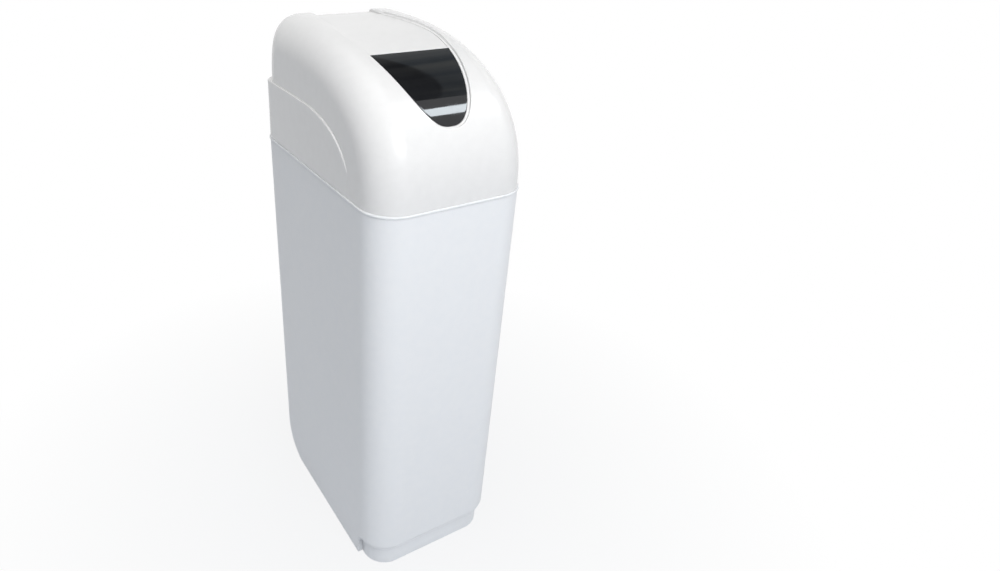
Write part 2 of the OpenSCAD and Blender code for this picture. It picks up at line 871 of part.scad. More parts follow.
module top_strainer() {
    color(natural)
        translate([0, tank_y, tank_top - thread_l - 30])
            difference() {
                cylinder(r1 = thread_r - 6, r2 = thread_r - 2, h = 30 - touch);
                translate([0, 0, -1])
                    cylinder(r = riser_r + fit, h = 40);
                for (level = [0:3])
                    translate([0, 0, 4 + 6 * level])
                        ring(thread_r, thread_r - 8, 2);
            }
}

module valve_body() {
    color(dark_brown)
        difference() {
            union() {
                translate([0, tank_y, tank_top - thread_l])
                    cylinder(r = thread_r, h = thread_l + flange_t);
                translate([0, tank_y, flange_z])
                    cylinder(r = flange_r, h = flange_t);
                translate([0, tank_y, flange_z + flange_t])
                    cylinder(r1 = barrel_r + 3.5, r2 = barrel_r, h = 7);
                translate([0, tank_y, flange_z + flange_t])
                    cylinder(r = barrel_r, h = valve_h - flange_t);
                translate([0, tank_y, barrel_top - 5])
                    cylinder(r = barrel_r + 4, h = 5);
                translate([-2.5, tank_y - barrel_r - 5, flange_z + 2])
                    cube([5, 12, valve_h - 4]);
                translate([-pad_x, tank_y - 9, injector_z - 9])
                    cube([2 * pad_x, 18, 18]);
                translate([-port_half - 16, tank_y + 12, port_z - 15])
                    cube([2 * port_half + 32, block_y - tank_y - 12, 29.5]);
            }
            translate([0, tank_y, tank_top - thread_l - 1])
                cylinder(r = riser_r + fit, h = flange_z - tank_top + thread_l + 1);
            translate([0, tank_y, seal_bottom])
                cylinder(r = barrel_bore_r, h = valve_h);
            for (x = [-port_half, port_half]) {
                bar_y(x, port_z, nipple_r + fit, block_y - nipple_l - 2, block_y + 1);
                bar_y(x, port_z, port_bore_r - 2, tank_y + 17, block_y);
            }
            bar_y(0, port_z, clip_screw_r + fit, block_y - 12, block_y + 1);
        }
}

module tank_seal() {
    color(rubber)
        translate([0, tank_y, tank_top + seal_r])
            rotate_extrude()
                translate([thread_r + 8, 0])
                    circle(seal_r - eps);
}

module port_yoke() {
    color(black)
        difference() {
            union() {
                for (x = [-port_half, port_half]) {
                    bar_y(x, port_z, nipple_r, block_y - nipple_l, block_y + 1);
                    bar_y(x, port_z, collar_r, block_y, block_y + collar_t);
                    bar_y(x, port_z, port_r - 0.8, block_y, half_d + port_out - port_thread + 1);
                    bar_y(x, port_z, port_r, half_d + port_out - port_thread, half_d + port_out);
                }
                translate([-port_half, block_y + 30, port_z - 6])
                    cube([2 * port_half, 8, 12]);
            }
            for (x = [-port_half, port_half])
                bar_y(x, port_z, port_bore_r, block_y - nipple_l - 1, half_d + port_out + 1);
        }
}

module port_seals() {
    color(rubber)
        for (x = [-port_half, port_half])
            translate([x, block_y - nipple_l - 2, port_z])
                rotate([-90, 0, 0])
                    ring(nipple_r, port_bore_r, 2);
}

module yoke_clip() {
    color(grey)
        difference() {
            front_slab(block_y + collar_t, block_y + collar_t + clip_t)
                translate([0, port_z])
                    rounded(2 * (port_half + collar_r + 3), 2 * collar_r, 8);
            for (x = [-port_half, port_half])
                bar_y(x, port_z, port_r + touch, block_y, block_y + 40);
            bar_y(0, port_z, clip_screw_r + 0.2, block_y, block_y + 40);
        }
}

module clip_screw() {
    head_at = block_y + collar_t + clip_t;
    color(steel)
        difference() {
            union() {
                bar_y(0, port_z, clip_screw_r, block_y - 11, head_at + 1);
                bar_y(0, port_z, 5, head_at, head_at + 4);
            }
            bar_y(0, port_z, 2, head_at + 2, head_at + 5);
        }
}

module injector_body() {
    color(dark_brown)
        difference() {
            union() {
                translate([-pad_x - injector_l, tank_y - injector_half, injector_z - 12])
                    cube([injector_l, 2 * injector_half, 20]);
                bar_x(tank_y, injector_z + 4, 9, -pad_x - injector_l, -pad_x);
                bar_x(tank_y, injector_z, line_r + 1.6, -pad_x - injector_l - 6, -pad_x - injector_l + 1);
            }
            for (x = [5, injector_l - 5])
                bar_y(-pad_x - x, injector_z - 2, 1.5 + fit, tank_y - injector_half - 1, tank_y - 2);
        }
}

module injector_cap() {
    color(black)
        difference() {
            front_slab(tank_y - injector_half - 4, tank_y - injector_half)
                translate([-pad_x - injector_l / 2, injector_z - 2])
                    rounded(injector_l - 1, 18, 4);
            for (x = [5, injector_l - 5])
                bar_y(-pad_x - x, injector_z - 2, 1.7, tank_y - injector_half - 10, tank_y);
        }
}

module injector_screws() {
    head_at = tank_y - injector_half - 4;
    color(steel)
        for (x = [5, injector_l - 5]) {
            bar_y(-pad_x - x, injector_z - 2, 1.5, head_at - 1, tank_y - 3);
            bar_y(-pad_x - x, injector_z - 2, 3, head_at - 2.5, head_at);
        }
}

module brine_nut() {
    nut_end = -pad_x - injector_l - 16;
    color(black)
        difference() {
            translate([nut_end, tank_y, injector_z])
                rotate([0, 90, 0])
                    linear_extrude(14)
                        polygon([for (i = [0:23], c = [[0, 0.5], [0.5, -0.3]])
                            let (a = (i + c[0]) * 15)
                            (line_r + 3.6 + c[1]) * [cos(a), sin(a)]]);
            bar_x(tank_y, injector_z, line_r + 0.2, nut_end - 1, nut_end + 20);
            bar_x(tank_y, injector_z, line_r + 1.6 + fit, nut_end + 10, nut_end + 20);
        }
}

module drain_fitting() {
    color(dark_brown)
        difference() {
            union() {
                translate([pad_x, tank_y - 9, drain_z - drain_gap / 2 - 6.5])
                    cube([9, 18, drain_gap + 13]);
                for (level = [-0.5, 0.5]) {
                    bar_x(tank_y, drain_z + level * drain_gap, drain_r, pad_x, pad_x + 9 + drain_l);
                    bar_x(tank_y, drain_z + level * drain_gap, drain_r + 0.4, pad_x, pad_x + 12);
                }
            }
            for (level = [-0.5, 0.5])
                bar_x(tank_y, drain_z + level * drain_gap, drain_r - 2, pad_x + 5, pad_x + 10 + drain_l);
        }
}

module piston() {
    color(white_gloss)
        translate([0, tank_y, seal_bottom + 1])
            difference() {
                cylinder(r = piston_r, h = piston_h);
                translate([0, 0, 4])
                    ring(piston_r + 1, piston_r - 3, 6);
                translate([0, 0, piston_h - 2])
                    cylinder(r = piston_rod_r + fit, h = 3);
            }
}

module piston_rod() {
    z0 = seal_bottom + piston_h - 1;
    color(steel)
        translate([0, tank_y, z0])
            cylinder(r = piston_rod_r, h = barrel_top + 30 - z0);
}

module seal_stack() {
    stack_h = barrel_top - plug_h - seal_bottom;
    count = 5;
    color(rubber)
        translate([0, tank_y, seal_bottom])
            difference() {
                ring(barrel_bore_r - fit, piston_r + 0.08, stack_h);
                for (i = [0:count - 1])
                    translate([0, 0, stack_h * (i + 0.5) / count - 0.75])
                        ring(barrel_bore_r + 1, barrel_bore_r - 1.5, 1.5);
            }
}

module end_plug() {
    color(black)
        translate([0, tank_y, barrel_top - plug_h])
            ring(barrel_bore_r - fit, piston_rod_r + 0.08, plug_h);
}

// The timer head's front outline with bowed top and bottom, set in by inset
module head_outline(inset) {
    w = head_w - 2 * inset;
    h = head_h - 2 * inset;
    r = head_corner_r - inset;
    bow = bow_r - inset;
    corner_x = w / 2 - r;
    corner_z = h / 2 - bow + sqrt(pow(bow - r, 2) - pow(corner_x, 2));
    translate([0, head_z]) {
        intersection() {
            square([2 * corner_x * bow / (bow - r), h], center = true);
            translate([0, bow - h / 2])
                circle(bow, $fn = 360);
            translate([0, h / 2 - bow])
                circle(bow, $fn = 360);
        }
        square([w, 2 * corner_z], center = true);
        for (x = [-corner_x, corner_x], z = [-corner_z, corner_z])
            translate([x, z])
                circle(r);
    }
}

module timer_cover() {
    color(grey)
        difference() {
            front_slab(plate_y, cover_end)
                head_outline(cover_in);
            front_slab(plate_y - 1, cover_end - cover_t)
                head_outline(cover_in + cover_t);
            for (x = [-post_x, post_x], z = [-post_z, post_z])
                bar_y(x, head_z + z, 2.2, cover_end - 10, cover_end + 1);
            translate([0, tank_y, barrel_top - 1])
                cylinder(r = piston_rod_r + 2, h = 10);
            bar_y(post_x - 24, head_z - 28, 8 + fit, cover_end - 10, cover_end + 1);
        }
}

module timer_bezel() {
    inner_w = opening_w - 2 * bezel_slant;
    inner_h = opening_h - 2 * bezel_slant;
    color(black) {
        difference() {
            front_slab(face_y, plate_y)
                head_outline(0);
            hull() {
                translate([-opening_w / 2, face_y - 1, head_z - opening_h / 2])
                    cube([opening_w, 1, opening_h]);
                translate([-inner_w / 2, plate_y, head_z - inner_h / 2])
                    cube([inner_w, 1, inner_h]);
            }
        }
        front_slab(face_y - 3, face_y + 1)
            translate([0, head_z - opening_h / 2 - bezel_w / 2 + 1])
                rounded(26, bezel_w, 3);
    }
}

module face_plate() {
    color(teal)
        difference() {
            front_slab(plate_y, plate_y + plate_t)
                head_outline(cover_in + cover_t + touch);
            bar_y(0, knob_z, knob_shaft_r + 0.08, plate_y - 1, plate_y + 10);
            bar_y(dial_x, dial_z, dial_shaft_r + 0.08, plate_y - 1, plate_y + 10);
            bar_y(-button_x, knob_z, recess_r, plate_y - 1, plate_y + 10);
        }
}

module timer_plate() {
    post_end = cover_end - cover_t;
    color(grey)
        difference() {
            union() {
                front_slab(mech_y, mech_y + mech_t)
                    head_outline(cover_in + cover_t + touch);
                for (x = [-post_x, post_x], z = [-post_z, post_z])
                    bar_y(x, head_z + z, 5, mech_y, post_end);
                bar_y(-button_x, knob_z, 2.5, day_y + 1, mech_y + 1);
            }
            for (x = [-post_x, post_x], z = [-post_z, post_z])
                bar_y(x, head_z + z, 2 + fit, post_end - 15, post_end + 1);
            bar_y(0, knob_z, knob_shaft_r + 0.08, mech_y - 1, mech_y + 10);
            bar_y(dial_x, dial_z, dial_shaft_r + 0.08, mech_y - 1, mech_y + 10);
            bar_y(-button_x, pinion_z, pinion_shaft_r + 0.08, mech_y - 1, mech_y + 10);
        }
}

module cover_screws() {
    color(steel)
        for (x = [-post_x, post_x], z = [-post_z, post_z])
            difference() {
                union() {
                    bar_y(x, head_z + z, 2, cover_end - cover_t - 13, cover_end + 1);
                    bar_y(x, head_z + z, 4, cover_end, cover_end + 2.5);
                }
                translate([x - 3, cover_end + 1.5, head_z + z - 0.5])
                    cube([6, 2, 1]);
            }
}

module power_gland() {
    color(black)
        translate([post_x - 24, cover_end - cover_t - 3, head_z - 28])
            rotate([-90, 0, 0])
                difference() {
                    union() {
                        cylinder(r = 8, h = cover_t + 5);
                        cylinder(r = 10, h = 3);
                        translate([0, 0, cover_t + 3])
                            cylinder(r1 = 10, r2 = 7, h = 10);
                    }
                    translate([0, 0, -1])
                        cylinder(r = 3.5, h = 30);
                }
}

module drive_motor() {
    color(steel)
        difference() {
            union() {
                bar_y(-button_x, pinion_z, motor_r, mech_y + mech_t, mech_y + mech_t + motor_l - 4);
                bar_y(-button_x, pinion_z, motor_r - 3, mech_y + mech_t, mech_y + mech_t + motor_l);
            }
            bar_y(-button_x, pinion_z, pinion_shaft_r + 0.08, mech_y, mech_y + mech_t + 8);
        }
}

module motor_pinion() {
    half_tooth = 180 / pinion_teeth;
    color(white_gloss) {
        translate([-button_x, day_y + day_t, pinion_z])
            rotate([90, 0, 0])
                linear_extrude(day_t)
                    rotate(90 + half_tooth)
                        polygon(gear_outline(pinion_teeth, pinion_r));
        bar_y(-button_x, pinion_z, pinion_shaft_r, day_y, mech_y + mech_t + 7);
    }
}

// Clock gear with a forward cup that guides the red button
module day_gear() {
    color(black)
        difference() {
            union() {
                translate([-button_x, day_y + day_t, knob_z])
                    rotate([90, 0, 0])
                        linear_extrude(day_t)
                            rotate(-90)
                                polygon(gear_outline(day_teeth, day_r));
                bar_y(-button_x, knob_z, cup_r, cup_y, day_y + 1);
            }
            bar_y(-button_x, knob_z, button_r + fit, cup_y - 1, day_y);
            bar_y(-button_x, knob_z, 2.58, day_y - 1, day_y + day_t + 1);
        }
}

module recess_ring() {
    color(black)
        translate([-button_x, plate_y - 2, knob_z])
            rotate([-90, 0, 0])
                ring(recess_r + 3, recess_r, 2);
}

module red_button() {
    color([0.8, 0.08, 0.08])
        difference() {
            union() {
                bar_y(-button_x, knob_z, button_r, cup_y - 2, day_y - button_travel - 0.4);
                bar_y(-button_x, knob_z, button_r - 1, cup_y - 3, cup_y);
            }
            translate([-button_x - button_r, cup_y - 4, knob_z - 0.6])
                cube([2 * button_r, 2, 1.2]);
        }
}

// Toothed disc with a raised grip bar
module regeneration_knob() {
    disc_front = knob_back - 5;
    color(black)
        difference() {
            union() {
                front_slab(disc_front, knob_back)
                    translate([0, knob_z])
                        polygon([for (i = [0:knob_teeth - 1], c = [[0, 0], [0.5, -0.9]])
                            let (a = (i + c[0]) * 360 / knob_teeth)
                            (knob_r + c[1]) * [cos(a), sin(a)]]);
                front_slab(disc_front - 2, disc_front)
                    translate([0, knob_z])
                        circle(knob_r - 4);
                front_slab(face_y - grip_out, disc_front)
                    translate([0, knob_z])
                        rounded(grip_w, grip_l, grip_w / 2 - 3);
            }
            front_slab(face_y - grip_out - 1, face_y - grip_out + 0.8)
                translate([0, knob_z])
                    rounded(14, grip_l - 12, 2);
            bar_y(0, knob_z, knob_shaft_r + 0.02, knob_back - 8, knob_back + 1);
        }
}

module knob_label() {
    color("white")
        front_slab(face_y - grip_out + 0.2, face_y - grip_out + 0.8)
            translate([0, knob_z])
                rounded(13.6, grip_l - 12.4, 1.8);
}

module knob_shaft() {
    color(steel)
        bar_y(0, knob_z, knob_shaft_r, knob_back - 8, mech_y + mech_t + 2);
}

module main_gear() {
    color(natural)
        difference() {
            front_slab(main_y, main_y + main_t)
                translate([0, knob_z])
                    polygon(gear_outline(main_teeth, gear_module * main_teeth / 2));
            bar_y(0, knob_z, knob_shaft_r + 0.02, main_y - 1, main_y + main_t + 1);
            for (turn = [0:60:300])
                translate([19 * cos(turn), 0, knob_z + 19 * sin(turn)])
                    bar_y(0, 0, 6, main_y - 1, main_y + main_t + 1);
        }
}

module program_dial() {
    color([0.86, 0.87, 0.86])
        difference() {
            union() {
                bar_y(dial_x, dial_z, dial_r, dial_back - 3, dial_back);
                bar_y(dial_x, dial_z, dial_r - 7, dial_back - 4, dial_back - 2);
            }
            bar_y(dial_x, dial_z, dial_shaft_r + 0.02, dial_back - 5, dial_back + 1);
        }
}

// Turned hub with a groove that leaves a bright outer ring
module dial_hub() {
    color(black)
        difference() {
            union() {
                bar_y(dial_x, dial_z, hub_r + 5.6, dial_back - 6.5, dial_back - 4);
                bar_y(dial_x, dial_z, hub_r, dial_back - 8, dial_back - 4);
                bar_y(dial_x, dial_z, hub_r - 4, dial_back - 11, dial_back - 8);
            }
            translate([dial_x, dial_back - 7, dial_z])
                rotate([-90, 0, 0])
                    ring(hub_r + 3, hub_r, 1.8);
            bar_y(dial_x, dial_z, dial_shaft_r + 0.02, dial_back - 8, dial_back);
        }
}

module dial_shaft() {
    color(steel)
        bar_y(dial_x, dial_z, dial_shaft_r, dial_back - 7.5, mech_y + mech_t + 2);
}

module dial_index() {
    color(black)
        bar_y(dial_x + 17, dial_z - 29.5, 4.4, plate_y - 7, plate_y);
}

// Side fender that wraps round the rear of the hood, set in by inset
module fender(inset) {
    foot_z = hood_z - 6;
    intersection() {
        across(cabinet_w + 2)
            polygon(concat(
                [[half_d + 1, foot_z], [half_d + 1, hood_z + fender_h - inset]],
                [for (angle = [90:-5:0])
                    let (p = super_quarter(fender_nose - inset, fender_h - inset, fender_power, angle))
                    [fender_y - p[0], angle == 0 ? foot_z : hood_z + p[1]]]));
        translate([0, 0, hood_z - 10])
            linear_extrude(fender_h + 20)
                plan(inset);
    }
}

module pipe_notch() {
    front_slab(half_d - 40, half_d + 10)
        translate([0, hood_z]) {
            translate([-notch_w / 2, -lip_h - 5])
                square([notch_w, notch_h + lip_h + 5 - notch_r]);
            translate([-notch_w / 2 + notch_r, 0])
                square([notch_w - 2 * notch_r, notch_h]);
            for (side = [-1, 1])
                translate([side * (notch_w / 2 - notch_r), notch_h - notch_r])
                    circle(notch_r, $fn = 32);
        }
}

// Ring that drops inside the cabinet wall and keeps the hood in place
module locating_lip() {
    lip_out = wall + lip_gap;
    difference() {
        union() {
            translate([0, 0, hood_z - lip_h])
                linear_extrude(lip_h + 4)
                    plan(lip_out);
            translate([0, 0, hood_z + 1])
                linear_extrude(7)
                    plan(side_in + hood_wall / 2);
        }
        translate([0, 0, hood_z - lip_h - 1])
            linear_extrude(lip_h + 12)
                plan(lip_out + lip_t);
    }
}

// Upright slot behind the seat, where the lid's rear edge swings down
module hinge_slot() {
    slot_half = leaf_at(slot_y) - 0.4;
    translate([-slot_half, slot_y, hinge_z - 25])
        cube([2 * slot_half, recess_end_y - slot_y, hinge_drop + 40]);
}

// Thin moulded hood: a convex crown and a fender, both hollow, with a tray for the lid
module hood() {
    color(white_gloss)
        difference() {
            union() {
                difference() {
                    union() {
                        hull_of(crown_points(0));
                        fender(0);
                    }
                    hull_of(crown_points(hood_wall));
                    fender(hood_wall);
                    translate([-cabinet_w, -cabinet_d, hood_z - 20])
                        cube([2 * cabinet_w, 2 * cabinet_d, 20]);
                }
                leaf_band(-half_d, recess_end_y + 3, hood_wall, 1, seat_depth + hood_wall);
                locating_lip();
            }
            leaf_band(-half_d, recess_end_y - 1, 0, -12, seat_depth);
            leaf_band(-half_d, slot_y + 1, -lid_ledge, 0, seat_depth + 20);
            hinge_slot();
            pipe_notch();
        }
}

module hinge_ears() {
    ear_top = crown_z(hinge_y + 8, hood_wall) - touch;
    color(white_gloss)
        for (side = [-1, 1])
            translate([side * (ear_x + hinge_t / 2), 0, 0])
                difference() {
                    across(hinge_t) {
                        translate([hinge_y, hinge_z])
                            circle(hinge_pin_r + 3.5);
                        translate([hinge_y - 8, hinge_z])
                            square([16, ear_top - hinge_z]);
                    }
                    bar_x(hinge_y, hinge_z, hinge_pin_r + fit, -hinge_t, hinge_t);
                }
}

module hinge_pin() {
    pin_half = ear_x + hinge_t + 2;
    color(steel)
        bar_x(hinge_y, hinge_z, hinge_pin_r, -pin_half, pin_half);
}

module salt_lid() {
    color(white_gloss)
        difference() {
            leaf_band(-half_d, lid_end_y, -lid_gap, lid_drop, lid_drop + lid_t);
            leaf_band(-half_d, window_y, 3, lid_drop - 6, lid_drop + window_t + 0.2);
            leaf_band(-half_d, window_y - window_frame, -lid_gap - window_frame, 0, lid_drop + lid_t + 6);
        }
}

// Hinge arms under the lid, bored for the pin
module lid_arms() {
    under = lid_drop + lid_t + 0.15;
    color(white_gloss)
        for (side = [-1, 1])
            translate([side * (arm_x - hinge_t / 2), 0, 0])
                difference() {
                    across(hinge_t) {
                        translate([hinge_y, hinge_z])
                            circle(hinge_pin_r + 3);
                        polygon([
                            [hinge_y - 6, hinge_z], [hinge_y + 6, hinge_z],
                            [hinge_y + 6, crown_z(hinge_y + 6, 0) - under],
                            [hinge_y - 6, crown_z(hinge_y - 6, 0) - under]]);
                    }
                    bar_x(hinge_y, hinge_z, hinge_pin_r + fit, -hinge_t, hinge_t);
                }
}

module lid_window() {
    color(smoke)
        leaf_band(-half_d, window_y - touch, -lid_gap, lid_drop, lid_drop + window_t);
}

cabinet_body();
overflow_elbow();
overflow_nut();
overflow_gasket();
salt_grid();
brine_well();
brine_well_cap();
air_check();
brine_riser();
brine_valve();
float_guide();
float_rod();
brine_float();
brine_line();
resin_tank();
tank_boot();
resin_bed();
riser_tube();
bottom_strainer();
top_strainer();
valve_body();
tank_seal();
port_yoke();
port_seals();
yoke_clip();
clip_screw();
injector_body();
injector_cap();
injector_screws();
brine_nut();
drain_fitting();
piston();
piston_rod();
seal_stack();
end_plug();
timer_cover();
timer_bezel();
face_plate();
timer_plate();
cover_screws();
power_gland();
drive_motor();
motor_pinion();
day_gear();
recess_ring();
red_button();
regeneration_knob();
knob_label();
knob_shaft();
main_gear();
program_dial();
dial_hub();
dial_shaft();
dial_index();
hood();
hinge_ears();
hinge_pin();
salt_lid();
lid_arms();
lid_window();
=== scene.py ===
"""Looks of a cabinet water softener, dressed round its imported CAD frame.

All lengths are metres in the CAD frame: X to the right, front at -Y, Z up, floor at z = 0.
"""

import json
import logging
import math
from dataclasses import dataclass, field
from enum import Enum

import bpy
import numpy as np
from mathutils import Matrix


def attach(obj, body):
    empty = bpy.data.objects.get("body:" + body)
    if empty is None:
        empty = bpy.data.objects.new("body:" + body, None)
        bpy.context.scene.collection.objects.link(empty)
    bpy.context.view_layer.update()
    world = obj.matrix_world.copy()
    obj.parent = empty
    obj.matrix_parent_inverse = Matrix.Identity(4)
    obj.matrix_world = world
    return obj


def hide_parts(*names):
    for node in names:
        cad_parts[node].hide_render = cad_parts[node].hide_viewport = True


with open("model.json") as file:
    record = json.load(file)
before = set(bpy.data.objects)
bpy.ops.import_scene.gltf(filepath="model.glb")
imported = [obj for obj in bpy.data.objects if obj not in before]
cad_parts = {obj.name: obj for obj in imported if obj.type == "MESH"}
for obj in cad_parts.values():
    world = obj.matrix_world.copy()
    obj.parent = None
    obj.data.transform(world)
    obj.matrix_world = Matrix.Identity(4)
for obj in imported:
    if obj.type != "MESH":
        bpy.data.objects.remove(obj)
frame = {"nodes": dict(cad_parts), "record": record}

LOG = logging.getLogger("softener")
Array = np.ndarray
Number = Array | float
Pair = tuple[float, float]
Triple = tuple[float, float, float]
Piece = bpy.types.Object
Material = bpy.types.Material
Node = bpy.types.Node
Socket = bpy.types.NodeSocket
Feeds = dict[str | int, object]
QUARTER = math.pi / 2
TURN = 2.0 * math.pi
OUTLINE_POINTS = 6000
SAME_POINT = 1e-9
FLOAT, COLOR, VECTOR = "NodeSocketFloat", "NodeSocketColor", "NodeSocketVector"


class Slot(str, Enum):
    """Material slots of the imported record."""

    CABINET = "cabinet_white"
    HOOD = "hood_white"
    WINDOW = "smoked_acrylic"
    BROWN = "dark_brown"
    BLACK = "black_plastic"
    GREY = "grey_plastic"
    TEAL = "teal_face"
    NATURAL = "natural_plastic"
    TUBE = "clear_tube"
    LABEL = "label_white"
    DIAL = "dial_grey"
    RED = "red_plastic"
    TANK = "tank_wrap"
    RESIN = "resin_amber"
    STEEL = "steel"
    RUBBER = "rubber"


class Ink(str, Enum):
    """Print colours on the timer's face."""

    WHITE = "white"
    BLACK = "black"
    GREEN = "green"
    RED = "red"
    BLUE = "blue"
    SILVER = "silver"


class Body(str, Enum):
    """CAD bodies that new pieces ride on."""

    CABINET = "cabinet"
    HOOD = "hood_shell"
    LID = "lid"
    KNOB = "knob"
    PROGRAM = "program"


# Meshes


def stack(*parts: Number) -> Array:
    """Coordinates, spread to one shape and put on a last axis."""
    return np.stack(np.broadcast_arrays(*parts), axis=-1)


def lift(plan: Array, z: Number) -> Array:
    """Plan points put at a height."""
    return stack(plan[..., 0], plan[..., 1], z)


def quarter_turn(count: int) -> Array:
    """Angles from 0 to a right angle."""
    return np.linspace(0.0, QUARTER, count)


def grid_faces(rows: int, cols: int, close_rows: bool = False, close_cols: bool = False) -> Array:
    """Quads of a grid of rows by cols points, wound along the columns first.

    Args:
        rows: Number of rows of points.
        cols: Number of points in a row.
        close_rows: Whether the last row joins the first.
        close_cols: Whether the last column joins the first.

    Returns:
        (n, 4) point indices.
    """
    i = np.arange(rows if close_rows else rows - 1)
    j = np.arange(cols if close_cols else cols - 1)
    a, b = np.meshgrid(i, j, indexing="ij")
    a2, b2 = (a + 1) % rows, (b + 1) % cols
    return stack(a * cols + b, a * cols + b2, a2 * cols + b2, a2 * cols + b).reshape(-1, 4)


def add_mesh(name: str, points: Array, faces: Array, sharp_deg: float = 40.0) -> Piece:
    """Puts points and faces of one size into a new smooth-shaded mesh object at the origin.

    Args:
        name: Name of the piece.
        points: (n, 3) positions.
        faces: (m, k) point indices, k corners each.
        sharp_deg: Edges that turn by more than this stay sharp.

    Returns:
        The new object, linked to the scene.
    """
    mesh = bpy.data.meshes.new(name)
    count, corners = faces.shape
    starts = np.arange(0, count * corners, corners, dtype=np.int32)
    mesh.vertices.add(len(points))
    mesh.vertices.foreach_set("co", np.ascontiguousarray(points, np.float32).ravel())
    mesh.loops.add(count * corners)
    mesh.loops.foreach_set("vertex_index", np.ascontiguousarray(faces, np.int32).ravel())
    mesh.polygons.add(count)
    mesh.polygons.foreach_set("loop_start", starts)
    mesh.polygons.foreach_set("use_smooth", np.ones(count, bool))
    mesh.update(calc_edges=True)
    mesh.validate()
    mesh.set_sharp_from_angle(angle=math.radians(sharp_deg))
    piece = bpy.data.objects.new(name, mesh)
    bpy.context.scene.collection.objects.link(piece)
    return piece


def add_grid(
    name: str,
    points: Array,
    close_rows: bool = False,
    close_cols: bool = False,
    flip: bool = False,
    sharp_deg: float = 40.0,
) -> Piece:
    """Makes a piece from a (rows, cols, 3) grid, closed or wound the other way where asked."""
    faces = grid_faces(*points.shape[:2], close_rows, close_cols)
    return add_mesh(name, points.reshape(-1, 3), faces[:, ::-1] if flip else faces, sharp_deg)


def smooth_step(x: Number, low: float, high: float) -> Array:
    """Cubic step from 0 at low to 1 at high."""
    t = np.clip((np.asarray(x, float) - low) / (high - low), 0.0, 1.0)
    return t * t * (3.0 - 2.0 * t)


def run_length(line: Array) -> Array:
    """Length run along a polyline at each of its points."""
    steps = np.linalg.norm(np.diff(line, axis=0), axis=1)
    return np.concatenate([[0.0], np.cumsum(steps)])


def resample(line: Array, measure: Array, count: int) -> Array:
    """Points at equal steps of a rising measure on a polyline whose last point is its first."""
    at = np.linspace(measure[0], measure[-1], count, endpoint=False)
    return stack(*(np.interp(at, measure, column) for column in line.T))


def round_outline(line: Array, reach: float) -> Array:
    """Rounds a closed outline's corners by a running mean over a short reach.

    Args:
        line: (n, 2) points, the first repeated at the end.
        reach: Length of the mean.

    Returns:
        Evenly spaced points, the first repeated at the end.
    """
    length = run_length(line)
    even = resample(line, length, OUTLINE_POINTS)
    width = max(3, int(OUTLINE_POINTS * reach / length[-1]) | 1)
    wrapped = np.concatenate([even[-width:], even, even[:width]])
    kernel = np.ones(width) / width
    mean = stack(*(np.convolve(column, kernel, mode="same") for column in wrapped.T))
    return np.concatenate([mean[width:-width], mean[width : width + 1]])


def outline_normals(line: Array) -> Array:
    """Outward unit normals of a closed outline that runs from the rear by +v to the tip.

    Args:
        line: (n, 2) points, the first not repeated.

    Returns:
        (n, 2) normals.
    """
    step = np.roll(line, -1, axis=0) - np.roll(line, 1, axis=0)
    normal = stack(step[:, 1], -step[:, 0])
    return normal / np.linalg.norm(normal, axis=1, keepdims=True)


def clip_outline(line: Array, u_low: float, u_high: float, reach: float) -> Array:
    """Part of a closed outline between two places along u, with straight ends and rounded corners.

    Args:
        line: (n, 2) points, the first repeated at the end.
        u_low: Lowest u kept.
        u_high: Highest u kept.
        reach: Reach of the corner rounding.

    Returns:
        Closed outline with the first point repeated.
    """
    cut = stack(np.clip(line[:, 0], u_low, u_high), line[:, 1])
    moved = np.linalg.norm(np.diff(cut, axis=0), axis=1) > SAME_POINT
    return round_outline(cut[np.concatenate([[True], moved])], reach)


# Forms that several pieces share


